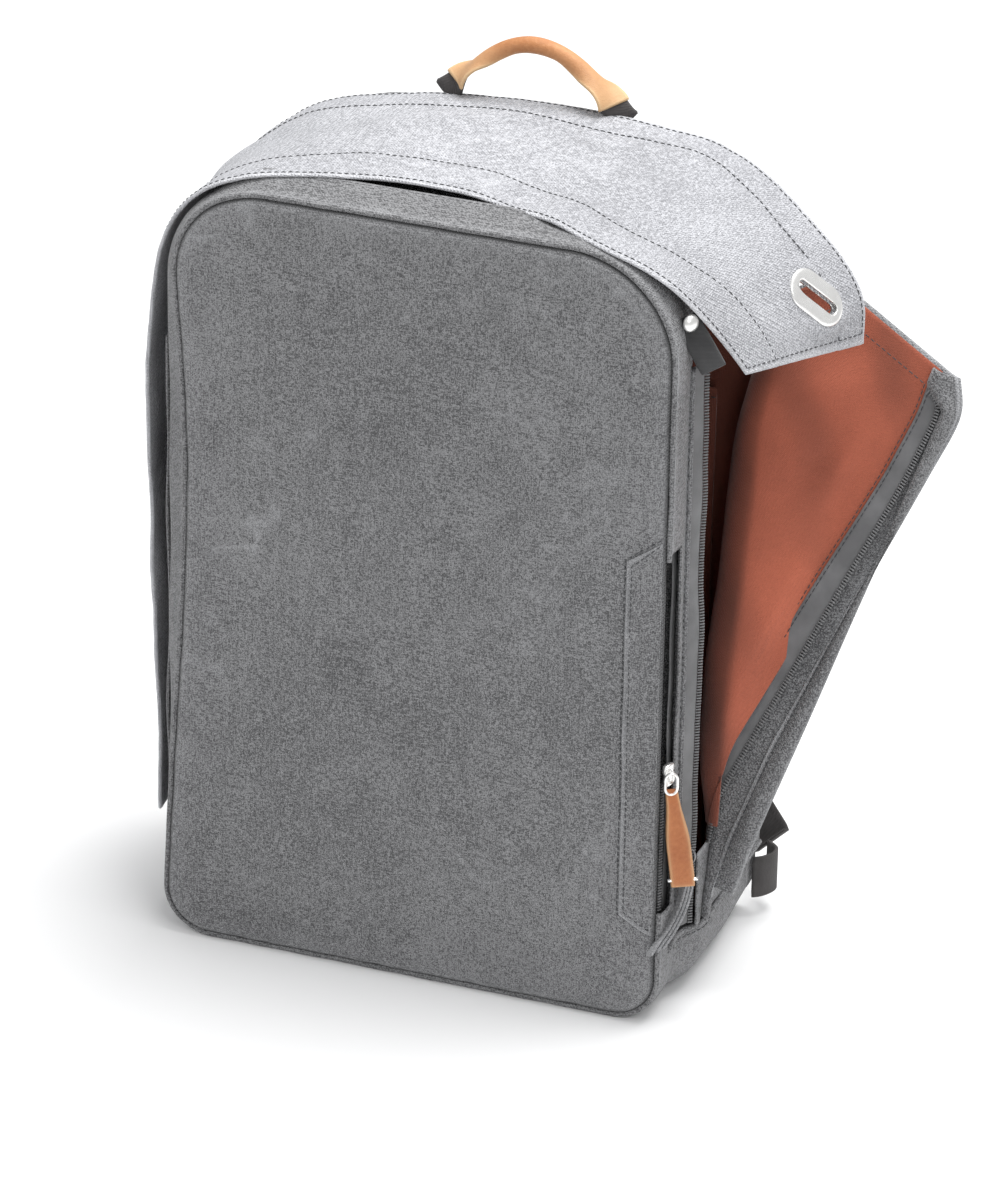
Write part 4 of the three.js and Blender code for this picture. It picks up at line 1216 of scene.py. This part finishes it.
def back_point(x, z):
    """The back edge follows the back panel, then runs forward along the free flap."""
    return x, LID_BACK_Y + (FLAP_BACK_Y - LID_BACK_Y) * smoothstep(116, 185, x), z


LID_EDGES = smooth_curve(LID_FRONT, 2400), smooth_curve([back_point(x, z) for x, z in LID_BACK], 2400)


def at_share(curve, share):
    """Points at shares of a curve's length."""
    position = np.asarray(share) * (len(curve) - 1)
    return np.stack([np.interp(position, np.arange(len(curve)), column) for column in curve.T], axis=-1)


def lid_rows(shares, columns=46):
    """The lid's outer face: rows at shares of the front edge, running to the back edge."""
    shares = np.asarray(shares, float)
    back = np.interp(shares, [0, SHOULDER_SHARE, HINGE_SHARE, 1], [0, 0.85, 0.89, 1])
    a, b = at_share(LID_EDGES[0], shares)[:, None], at_share(LID_EDGES[1], back)[:, None]
    u = 0.75 * np.linspace(0, 1, columns) + 0.25 * eased_steps(columns)
    flat = a + (b - a) * u[None, :, None]
    normals = grid_normals(flat)
    width = np.linalg.norm(b - a, axis=-1)
    inside = np.minimum(u[None, :], 1 - u[None, :]) * width
    crown = 2.2 * np.sin(math.pi * u)[None, :] * smoothstep(1.0, 0.9, shares)[:, None]
    fold = np.where(u < 0.5, HEM["front"], HEM["back"])[None, :]
    hem = 0.5 * smoothstep(fold + 1.2, fold - 0.6, inside) - 0.35 * np.exp(-((inside - fold - 1) / 1.3) ** 2)
    free = (1 - 0.75 * smoothstep(0.9, 0.95, shares))[:, None]
    slack = (1.3 * ripple(flat, 120, 61) + 0.9 * ripple(flat, 48, 62) + 0.15 * ripple(flat, 15, 63)) * free
    lap = 0.6 * ripple(flat, 60, 64) * np.exp(-inside / 12)
    return flat + normals * (1.0 + crown + hem + slack + lap)[..., None], inside


def lid_row(share):
    """One row of the lid's outer face."""
    return lid_rows([share - 0.002, share])[0][1]


def blend_window(first, last):
    """Start and end whose projections leave both rows of points fully on their own body."""
    a, b = first.mean(axis=0), last.mean(axis=0)
    direction = unit(b - a)
    start = a + direction * ((first - a) @ direction).max()
    end = b + direction * ((last - b) @ direction).min()
    return (start * MM).tolist(), (end * MM).tolist()


def node_frame(name):
    """Middle and axes, longest first, of a CAD node."""
    vertices = np.array([v.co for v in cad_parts[name].data.vertices]) / MM
    middle = (vertices.max(axis=0) + vertices.min(axis=0)) / 2
    axes = np.linalg.svd(vertices - vertices.mean(axis=0), full_matrices=False)[2]
    axes = axes * np.where(axes[:, 2:] < 0, -1, 1)
    return middle, axes


EYELET = {"length": 40, "width": 23, "slot_length": 30, "slot_width": 7, "turn": 25}


def eyelet_frame():
    """Where the flap's own surface carries the eyelet: its middle and its axes."""
    middle, axes = node_frame("slot_eyelet_front")
    grid = lid_rows(np.linspace(SEAM_SHARE, 1, 60), 90)[0]
    flat = (grid - middle) - ((grid - middle) @ axes[2])[..., None] * axes[2]
    spot = np.unravel_index(int(np.argmin(np.linalg.norm(flat, axis=-1))), grid.shape[:2])
    normal = grid_normals(grid)[spot]
    along = unit(axes[0] - normal * np.dot(axes[0], normal))
    across, turn = np.cross(normal, along), math.radians(EYELET["turn"])
    along = along * math.cos(turn) + across * math.sin(turn)
    return grid[spot], np.array([along, np.cross(normal, along), normal])


def stadium(length, width, count):
    """Points of a straight-sided oval, long in the first coordinate."""
    radius, reach = width / 2, (length - width) / 2
    ends = []
    for middle, start in ((reach, -90), (-reach, 90)):
        angle = np.radians(np.linspace(start, start + 180, 40))
        ends += list(zip(middle + radius * np.cos(angle), radius * np.sin(angle)))
    return resample(ends, count, closed=True)


def stadium_distance(along, across, length, width):
    """Distance outside a straight-sided oval; negative inside."""
    reach = (length - width) / 2
    return np.hypot(np.maximum(np.abs(along) - reach, 0), across) - width / 2


def lid_wear(inside, end):
    """Paler cloth along the edges, from the distances to a long edge and to an end."""
    return np.maximum(np.exp(-inside / 1.4), np.exp(-end / 1.4))


def lid_seams(prefix, shares):
    """Stitch lines along both long edges: one close to the edge, one at the hem."""
    rows, inside = lid_rows(shares)
    normals = grid_normals(rows)
    made = []
    for side in ("front", "back"):
        half = rows.shape[1] // 2
        columns = slice(0, half) if side == "front" else slice(rows.shape[1] - 1, half, -1)
        for kind, depth in (("edge", EDGE_SEAM), ("hem", HEM[side])):
            path, up = (np.array([[np.interp(depth, near, row[:, k]) for k in range(3)]
                                  for near, row in zip(inside[:, columns], values[:, columns])])
                        for values in (rows, normals))
            made.append(stitches(f"{prefix}_{side}_{kind}_seam", path + 0.15 * up, up))
    return made


def make_lid():
    """The band over the top, which stretches towards the flap's shoulder."""
    shares = np.concatenate([np.linspace(0, 0.88, 210)[:-1], np.linspace(0.88, SEAM_SHARE, 26)])
    grid, inside = lid_rows(shares)
    flat = np.zeros(grid.shape[:2], bool)
    flat[-1] = True
    stretch = blend_window(lid_row(STRETCH_SHARE), grid[-1])
    lid = cut_cloth("lid_cloth", grid, LID_THICKNESS, "lid_canvas", None,
                    replaced=["lid_band", "flap_shoulder"], flat=flat,
                    wear=lid_wear(inside, (shares * 760)[:, None]))
    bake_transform(lid)
    for row in lid_seams("lid", np.linspace(0.004, SEAM_SHARE - 0.001, 260)):
        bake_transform(row)


def make_flap():
    """The flap's cloth lies flat round the eyelet, with small tucks outside it."""
    shares = np.concatenate([np.linspace(SEAM_SHARE, HINGE_SHARE, 12)[:-1], np.linspace(HINGE_SHARE, 1, 56)])
    grid, inside = lid_rows(shares, 90)
    middle, axes = eyelet_frame()
    rel = grid - middle
    oval = stadium_distance(rel @ axes[0], rel @ axes[1], EYELET["length"], EYELET["width"])
    press = smoothstep(9, 0, oval)
    grid = grid - axes[2] * ((rel @ axes[2]) * press)[..., None]
    hole = stadium_distance(rel @ axes[0], rel @ axes[1], EYELET["slot_length"], EYELET["slot_width"]) < 1.2
    skip = hole[:-1, :-1] & hole[1:, :-1] & hole[:-1, 1:] & hole[1:, 1:]
    flat = np.zeros(grid.shape[:2], bool)
    flat[0] = True
    tuck = 0.5 * ripple(rel, 9, 66) * np.exp(-(np.maximum(oval, 0) / 10)) * (oval > 0)
    grid = grid + axes[2] * tuck[..., None]
    bend = blend_window(grid[0], lid_row(HINGE_SHARE))
    flap = cut_cloth("flap_cloth", grid, LID_THICKNESS, "lid_canvas", None, replaced=["flap_tail"], flat=flat,
                     skip=skip, wear=lid_wear(inside, ((1 - shares) * 800)[:, None]), held="draped")
    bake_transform(flap)
    for row in lid_seams("flap", np.linspace(SEAM_SHARE + 0.001, 0.996, 40)):
        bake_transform(row)
    normals = grid_normals(grid)
    row = int(np.argmin(np.abs(shares - 0.9955)))
    span = slice(3, grid.shape[1] - 3)
    line = grid[row, span] + 0.15 * normals[row, span]
    declare(stitches("flap_end_seam", line, normals[row, span]), "flap_tail")
    row, span = int(np.argmin(np.abs(shares - 0.982))), slice(56, 64)
    line = grid[row, span] + 0.3 * normals[row, span]
    declare(stitches("flap_tack", line, normals[row, span], pitch=1.3, length=2.4), "flap_tail")


# A ring's section: shares of the way out and up.
RING_SECTION = [(0.0, 0.25), (0.0, 0.75), (0.08, 0.93), (0.25, 1.0), (0.7, 0.98), (0.92, 0.8), (1.0, 0.5),
                (1.0, 0.15), (0.92, 0.0), (0.1, 0.0)]
RING_HALF_HEIGHT = 1.0


def oval_ring(name, centre, axes, inner, outer, slot, sides=64):
    """A pressed ring between two ovals, with rounded edges."""
    rings = []
    for p, q in zip(stadium(*inner, sides), stadium(*outer, sides)):
        ring = []
        for out, up in RING_SECTION:
            flat = p + (q - p) * out
            height = RING_HALF_HEIGHT * (2 * up - 1)
            ring.append(centre + axes[0] * flat[0] + axes[1] * flat[1] + axes[2] * height)
        rings.append(ring)
    size = len(RING_SECTION)
    faces = [(i * size + k, ((i + 1) % sides) * size + k, ((i + 1) % sides) * size + (k + 1) % size,
              i * size + (k + 1) % size) for i in range(sides) for k in range(size)]
    return make_object(name, np.array(rings).reshape(-1, 3), faces, slot)


def make_eyelets():
    middle, axes = eyelet_frame()
    inner, outer = (EYELET["slot_length"], EYELET["slot_width"]), (EYELET["length"], EYELET["width"])
    for side, sign, height in (("front", 1, 0.6), ("back", -1, -2.7)):
        facing = np.array([axes[0], axes[1] * sign, axes[2] * sign])
        ring = oval_ring(f"eyelet_{side}", middle + axes[2] * height, facing, inner, outer, "nickel")
        declare(ring, "flap_tail", [f"slot_eyelet_{side}"])


TAB_LINE = [(147, 427), (151, 420), (155.5, 413), (159.5, 406.5), (163.5, 400)]
TAB_Y = -57.5
TAB_WIDTH = 13


def make_closure_tab():
    """A tab of webbing that hangs twisted from its snap."""
    path = smooth_curve(TAB_LINE, 30)
    centres = place(path[:, 0], TAB_Y, path[:, 1])
    lean = unit(np.array([0.8, 0.42, 0.42]))
    grid = strap_grid(centres, np.broadcast_to(lean, centres.shape), TAB_WIDTH)
    # The side that looks forward is the outer one.
    grid = grid if grid_normals(grid)[15, 4, 1] < 0 else grid[:, ::-1]
    cut_cloth("closure_tab_webbing", grid, 1.8, "zip_tape", "shell", replaced=["closure_tab"],
              material="webbing_grey")
    make_tab_snap()


# The snap's sections: radius and height.
SNAP_SECTIONS = [(3.2, -1.3), (4.9, -1.3), (5.0, -0.9), (4.7, 0.0), (4.0, 0.85), (2.9, 1.5), (1.6, 1.9),
                 (0.5, 2.05)]


def make_tab_snap():
    """The domed snap that holds the tab's upper end."""
    middle, _ = node_frame("tab_rivet")
    out = unit(np.array([0.84, -0.54, 0.12]))
    side = unit(np.cross(out, Z))
    rise = np.cross(side, out)
    vertices, faces = loft([[middle + out * height + side * radius * math.cos(a) + rise * radius * math.sin(a)
                             for a in full_turn(32)] for radius, height in SNAP_SECTIONS])
    declare(make_object("tab_snap", vertices, faces, "nickel"), "shell", ["tab_rivet"])


# ---- Handle --------------------------------------------------------------------------------

HANDLE = {"x": 15, "y": 72, "base": 475, "reach": 49, "rise": 34.5, "webbing": 2.4}
# The leather grip: where it starts round the arch in degrees, half its width, how far round it curls.
GRIP = {"start": 28, "half": 7.6, "curl": 2.75}


def handle_points(angle, lift, across):
    """Points round the arch by angle in degrees, lifted off it and moved across its width."""
    angle = np.radians(angle)
    x = -HANDLE["reach"] * np.cos(angle)
    z = HANDLE["rise"] * np.sin(angle) * np.abs(np.sin(angle))
    slope = 2 * HANDLE["rise"] / HANDLE["reach"] * np.cos(angle)
    scale = lift / np.sqrt(1 + slope**2)
    return place(HANDLE["x"] + x - scale * slope, HANDLE["y"] - across, HANDLE["base"] + z + scale)


def turned(angle):
    """The strap lies flat against the back at its feet and turns square to the arch above them."""
    return np.radians(78 * smoothstep(52, 8, np.minimum(angle, 180 - angle)))


def rolled(share):
    """0 where the leather lies flat at its ends, 1 where it is rolled into a grip."""
    return smoothstep(0.0, 0.40, share) * smoothstep(1.0, 0.60, share)


def make_handle_webbing():
    """One strap of webbing, narrow inside the leather and wide at its two feet."""
    angle = np.linspace(-20, 200, 120)
    share = (angle - GRIP["start"]) / (180 - 2 * GRIP["start"])
    half = (7.0 + 2.0 * smoothstep(24, 0, np.minimum(angle, 180 - angle))) * (1 - 0.78 * rolled(share))
    u = np.linspace(-1, 1, 11)
    width, turn = half[:, None] * u[None, :], turned(angle)[:, None]
    grid = handle_points(angle[:, None], HANDLE["webbing"] / 2 - width * np.sin(turn), width * np.cos(turn))
    webbing = cut_cloth("handle_webbing", grid, HANDLE["webbing"], "webbing", None,
                        replaced=["handle_strap", "handle_foot_left", "handle_foot_right"])
    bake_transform(webbing)


def make_handle_leather():
    """A tapering wrap of leather: flat and wide at its ends, rolled round the webbing between them."""
    t = np.linspace(0, 1, 110)
    u = np.linspace(-1, 1, 29)
    roll = rolled(t)[:, None]
    bend = np.maximum(roll * GRIP["curl"], 0.02)
    wide = GRIP["half"] * (1 + 0.22 * (1 - roll))
    across = wide * np.sin(bend * u[None, :]) / bend
    drop = wide * (1 - np.cos(bend * u[None, :])) / bend
    slant = 4.0 * u[None, :] * (1 - 2 * t)[:, None] * (1 - roll)
    angle = GRIP["start"] + (180 - 2 * GRIP["start"]) * t[:, None] + slant
    spot = place(40 * t[:, None], 12 * u[None, :], 0)
    turn, lift = turned(angle), 2.6 + 1.6 * roll - drop + 0.25 * ripple(spot, 9, 67)
    off, aside = lift * np.cos(turn) - across * np.sin(turn), across * np.cos(turn) + lift * np.sin(turn)
    grid = handle_points(angle, off, aside)
    edge = np.minimum(1 - np.abs(u)[None, :], np.minimum(t, 1 - t)[:, None] * 8)
    hide = cloth("handle_leather", grid, 1.9, "leather", wear=np.exp(-edge / 0.08) + 0.75 * (1 - roll))
    declare(hide, "handle", ["handle_grip", "handle_grip_lining"])


# ---- Back and shoulder straps --------------------------------------------------------------

STRAP = {"x": 55, "half": 30, "seam": 6, "thickness": 9, "swell": 2.0, "webbing": 25}
STRAP_LINE = [(97, 442), (109, 400), (121, 335), (120, 265), (108, 205), (98, 172)]
QUILT_ROWS = 95, 190, 285, 380
QUILT_COLUMN = 62


def make_back_panel():
    """A padded panel, quilted in rows and columns."""
    columns, rows = 110, 150
    z = PANEL_INSET + (BACK["high"] - 2 * PANEL_INSET) * eased_steps(rows)
    x = np.linspace(-1, 1, columns)[:, None] * half_width(BACK, z, PANEL_INSET)[None, :]
    z = np.broadcast_to(z, x.shape)
    inside = edge_distance(BACK, x, z, PANEL_INSET)
    rim = 40 * (inside < 30)
    tufts = np.minimum.reduce([np.abs(z - level) for level in QUILT_ROWS]) + rim
    spine = np.abs(np.abs(x) - QUILT_COLUMN) + rim
    channel = np.exp(-(np.minimum(tufts, spine) / 5) ** 2)
    puff = 5.0 * smoothstep(0, 18, inside) * (1 - 0.8 * channel * smoothstep(22, 40, inside))
    y = BACK_Y + 1.6 + puff + 0.35 * ripple(place(x, 0, z), 24, 71) * smoothstep(0, 20, inside)
    grid = place(x, y, z)[::-1]
    panel = cloth("back_panel_pad", grid, 4.5, "canvas", wear=0.5 * np.exp(-np.maximum(inside, 0) / 4)[::-1])
    declare(panel, "shell", ["back_panel", "back_foam"])
    path = rounded_outline(BACK, 1.6, 520)
    cord = place(path[:, 0], BACK_Y + 1.6, path[:, 1])
    declare(tube("back_piping", cord, 2.0, "canvas", closed=True), "shell")
    for k, level in enumerate(QUILT_ROWS):
        seam(f"back_quilt_seam_{k}", place(np.linspace(-112, 112, 90), BACK_Y + 3.0, level), Y)


YOKE = {"half": 92, "y": 79.9, "low": 392, "high": 450, "seam_inset": 4}


def make_yoke():
    """The canvas across the back that the straps' roots are sewn under."""
    u = np.linspace(-1, 1, 60)
    t = np.linspace(0, 1, 20)
    height = YOKE["high"] - YOKE["low"]
    grid = place(YOKE["half"] * u[:, None], YOKE["y"], YOKE["low"] + height * t[None, :])
    grid[..., 1] += 0.4 * ripple(grid, 40, 72)
    cut_cloth("yoke_cloth", grid[::-1], 2.0, "canvas", "shell", replaced=["strap_yoke"], wear=0.2)
    for level in (YOKE["low"] + YOKE["seam_inset"], YOKE["high"] - YOKE["seam_inset"]):
        seam(f"yoke_seam_{level}", place((YOKE["half"] - 2) * u, YOKE["y"] + 0.4, level), Y)


def strap_frames(count):
    """The strap's middle line in (y, z), and the directions out of it."""
    path = smooth_curve(STRAP_LINE, count)
    along = unit(np.gradient(path, axis=0))
    return path, np.stack([-along[:, 1], along[:, 0]], axis=1)


def make_strap(name, side):
    """A stuffed shoulder strap, held flat along the seams on its two edges and at its ends."""
    rows, sides = 90, 40
    path, out = strap_frames(rows)
    t = np.linspace(-1, 1, rows)
    taper = 1 - 0.16 * smoothstep(0.2, 1, t)
    cosine, sine = np.cos(full_turn(sides)), np.sin(full_turn(sides))
    rings, held = [], []
    for i in range(rows):
        end = max(1 - abs(t[i]) ** 18, 0.0) ** 0.5
        half = STRAP["half"] * taper[i] * (0.9 + 0.1 * end)
        across = half * signed_power(cosine, 0.55)
        off_seam = np.abs(across) - half + STRAP["seam"]
        held.append((np.abs(off_seam) < 3.0) | (end < 0.6))
        deep = STRAP["thickness"] / 2 * (0.22 + 0.78 * end) * signed_power(sine, 0.8)
        spot = place(across, 0 * across, path[i, 1])
        groove = 1.1 * np.sign(sine) * np.exp(-((off_seam / 1.6) ** 2)) * end
        deep = deep * (1 + 0.10 * ripple(spot, 22, 73)) - groove
        y, z = path[i, 0] - deep * out[i, 0], path[i, 1] - deep * out[i, 1]
        rings.append(place(side * STRAP["x"] + across, y, z))
    vertices, faces = loft(rings)
    pad = make_object(f"shoulder_pad_{name}", vertices, faces, "canvas")
    settle(pad, np.concatenate(held), STRAP["swell"])
    declare(pad, f"strap_{name}", [f"shoulder_strap_{name}"])
    for edge in (-1, 1):
        across = side * STRAP["x"] + edge * (STRAP["half"] * taper - STRAP["seam"])
        for face in (-1, 1):
            reach = face * (STRAP["thickness"] / 2 - 1.4)
            line = place(across, path[:, 0] - reach * out[:, 0], path[:, 1] - reach * out[:, 1])[4:-4]
            ups = place(0, -face * out[:, 0], -face * out[:, 1])[4:-4]
            label = f"strap_seam_{name}_{'in' if edge < 0 else 'out'}_{'back' if face < 0 else 'front'}"
            declare(stitches(label, line, ups), f"strap_{name}")


# The strap's tail and its anchor loop, for the right side; x is mirrored for the left.
TAIL_LINE = [(STRAP["x"], 98, 150), (STRAP["x"], 98, 144), (112, 106, 86), (157, 90, 42), (159.5, 87, 38)]
ANCHOR_LINE = [(159.2, 62), (164, 66), (168, 73), (167.5, 80), (160.5, 86.5)]
ANCHOR_Z = 25.5


def make_strap_fittings(name, side):
    """The webbing at the strap's root, its buckle, its tail and the loop that anchors it."""
    arch = 82.4 + 1.2 * np.sin(np.linspace(0, math.pi, 12))
    root = strap_grid(place(side * STRAP["x"], arch, np.linspace(424, 445, 12)), np.tile(X, (12, 1)), 40, 15)
    cut_cloth(f"strap_root_webbing_{name}", root[::-1], 2.2, "webbing", "shell",
              replaced=[f"strap_root_{name}"])
    dress_node(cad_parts[f"strap_buckle_{name}"], "buckle_metal", 0.6)
    path = smooth_curve([(side * x, y, z) for x, y, z in TAIL_LINE], 70)
    t = smoothstep(0, 0.5, np.linspace(0, 1, 70))[:, None]
    across = unit(X * (1 - t) + unit(np.array([1.0, 0, side])) * t)
    grid = strap_grid(path, across, STRAP["webbing"])
    cut_cloth(f"strap_tail_webbing_{name}", grid, 1.8, "webbing", f"strap_{name}",
              replaced=[f"strap_webbing_{name}"])
    loop = smooth_curve([(side * x, y) for x, y in ANCHOR_LINE], 30)
    centres = place(loop[:, 0], loop[:, 1], ANCHOR_Z)
    grid = strap_grid(centres, np.broadcast_to(side * Z, centres.shape), STRAP["webbing"])
    cut_cloth(f"strap_anchor_webbing_{name}", grid, 2.0, "webbing", "shell",
              replaced=[f"strap_anchor_{name}"])


# ---- Metal fittings ------------------------------------------------------------------------


def dress_node(node, slot, bevel=0.3):
    """Gives a CAD node that stays in the scene its finish and rounded edges."""
    node.data.materials.clear()
    node.data.materials.append(MATERIALS[slot])
    node.data.shade_flat()
    rounding = node.modifiers.new("rounded_edges", "BEVEL")
    rounding.width = bevel * MM
    rounding.segments = 3
    rounding.limit_method = "ANGLE"
    rounding.harden_normals = True


# A slider's sections: height and half width.
SLIDER_SECTIONS = [(-6.3, 2.6), (-5.8, 3.3), (-3, 3.5), (0, 3.0), (3, 4.4), (5.6, 4.4), (6.3, 3.5)]


def make_slider(name, node, body, out, slot="nickel"):
    """A zip slider: a body with a waist, and a bail for its puller."""
    centre, _ = node_frame(node)
    out = unit(np.asarray(out, float))
    across = unit(np.cross(out, Z))
    rings = []
    for z, half in SLIDER_SECTIONS:
        wide = half * signed_power(np.cos(full_turn(20)), 0.5)
        deep = 1.5 * signed_power(np.sin(full_turn(20)), 0.5)
        rings.append([centre + across * a + out * b + Z * z for a, b in zip(wide, deep)])
    vertices, faces = loft(rings)
    declare(make_object(f"{name}_body", vertices, faces, slot), body, [node])
    angle = np.radians(np.linspace(-10, 190, 16))
    arch = centre + out * 1.2 + Z * (4.2 * np.cos(angle))[:, None] + out * (2.6 * np.sin(angle))[:, None]
    declare(tube(f"{name}_bail", arch, 0.75, slot, up=across), body)


def make_sliders():
    make_slider("pocket_slide", "pocket_slider", "pocket_slider", (0.95, -0.3, 0))
    make_slider("main_slide", "main_slider", "main_slider", (1, 0, 0), "dark_nickel")


# The leather puller: where its ring hangs, the turn of its face in degrees, the lengths of its strips.
PULLER = {"hang": (152.6, -66, 154), "turn": 30, "front_length": 60, "back_length": 56}


def make_leather_puller():
    """Two strips of leather laid together, hung from a ring, with a bar through the low end."""
    cosine, sine = math.cos(math.radians(PULLER["turn"])), math.sin(math.radians(PULLER["turn"]))
    out = unit(np.array([sine, -cosine, 0]))
    right = unit(np.array([cosine, sine, 0]))
    hang = np.array(PULLER["hang"])
    oval = stadium(13, 8, 40)
    ring = hang - right * 2.6 + Z * -3 + right * oval[:, 1:2] * 0.85 + Z * oval[:, 0:1]
    declare(tube("puller_ring", ring, 0.85, "nickel", closed=True, up=out), "leather_puller", ["pocket_ring"])
    t = np.linspace(0, 1, 70)
    u = np.linspace(-1, 1, 13)
    half = 3.0 + 3.1 * smoothstep(0.05, 0.6, t)
    for face, shift in (("front", 1.7), ("back", -0.2)):
        length = PULLER[f"{face}_length"]
        centres = hang + right * (8 * t - 2.4)[:, None] - Z * (7 + length * t)[:, None]
        centres = centres + out * (shift * smoothstep(0, 0.12, t) + 1.8 * np.sin(math.pi * t) * 0.6)[:, None]
        grid = centres[:, None] + right * (half[:, None] * u[None, :])[..., None]
        if np.dot(grid_normals(grid)[30, 6], out) < 0:
            grid = grid[:, ::-1]
        edge = np.minimum((1 - np.abs(u))[None, :], (1 - t)[:, None] * 8)
        hide = cloth(f"leather_puller_{face}", grid, 1.6, "leather", wear=0.6 * np.exp(-edge / 0.12),
                     material="puller_leather")
        declare(hide, "leather_puller", ["leather_puller"] if face == "front" else [])
    bar = hang + right * np.linspace(-3.2, 13.6, 12)[:, None] - Z * 63 + out * 0.9
    declare(tube("puller_bar", bar, 1.0, "nickel", up=out), "leather_puller")


def make_main_puller():
    middle, _ = node_frame("main_puller")
    oval = stadium(24, 9, 48)
    loop = middle + Z * oval[:, 0:1] * -1 + Y * oval[:, 1:2]
    ring = tube("main_puller_ring", loop, 1.15, "dark_nickel", closed=True, up=X)
    declare(ring, "main_puller", ["main_puller"])


def make_turn_lock():
    for node in ("turn_lock_plate", "turn_lock_knob"):
        dress_node(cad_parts[node], "nickel", 0.5)


# ---- Everything ----------------------------------------------------------------------------

make_front_panel()
make_front_piping()
make_front_gusset()
make_pocket_welt()
make_pocket_zip()
make_base_band()
make_left_wall()
make_top_cloth()
make_inner_sheets()
dress_node(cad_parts["base_board"], "board", 0.3)
make_side_cloth()
make_side_lining()
make_leaf_zip()
make_leaf_placket()
make_body_zip()
make_end_tab()
make_zip_foot()
make_lid()
make_flap()
make_eyelets()
make_closure_tab()
make_turn_lock()
make_handle_webbing()
make_handle_leather()
make_back_panel()
make_yoke()
for strap_name, strap_side in (("left", -1), ("right", 1)):
    make_strap(strap_name, strap_side)
    make_strap_fittings(strap_name, strap_side)
make_sliders()
make_leather_puller()
make_main_puller()
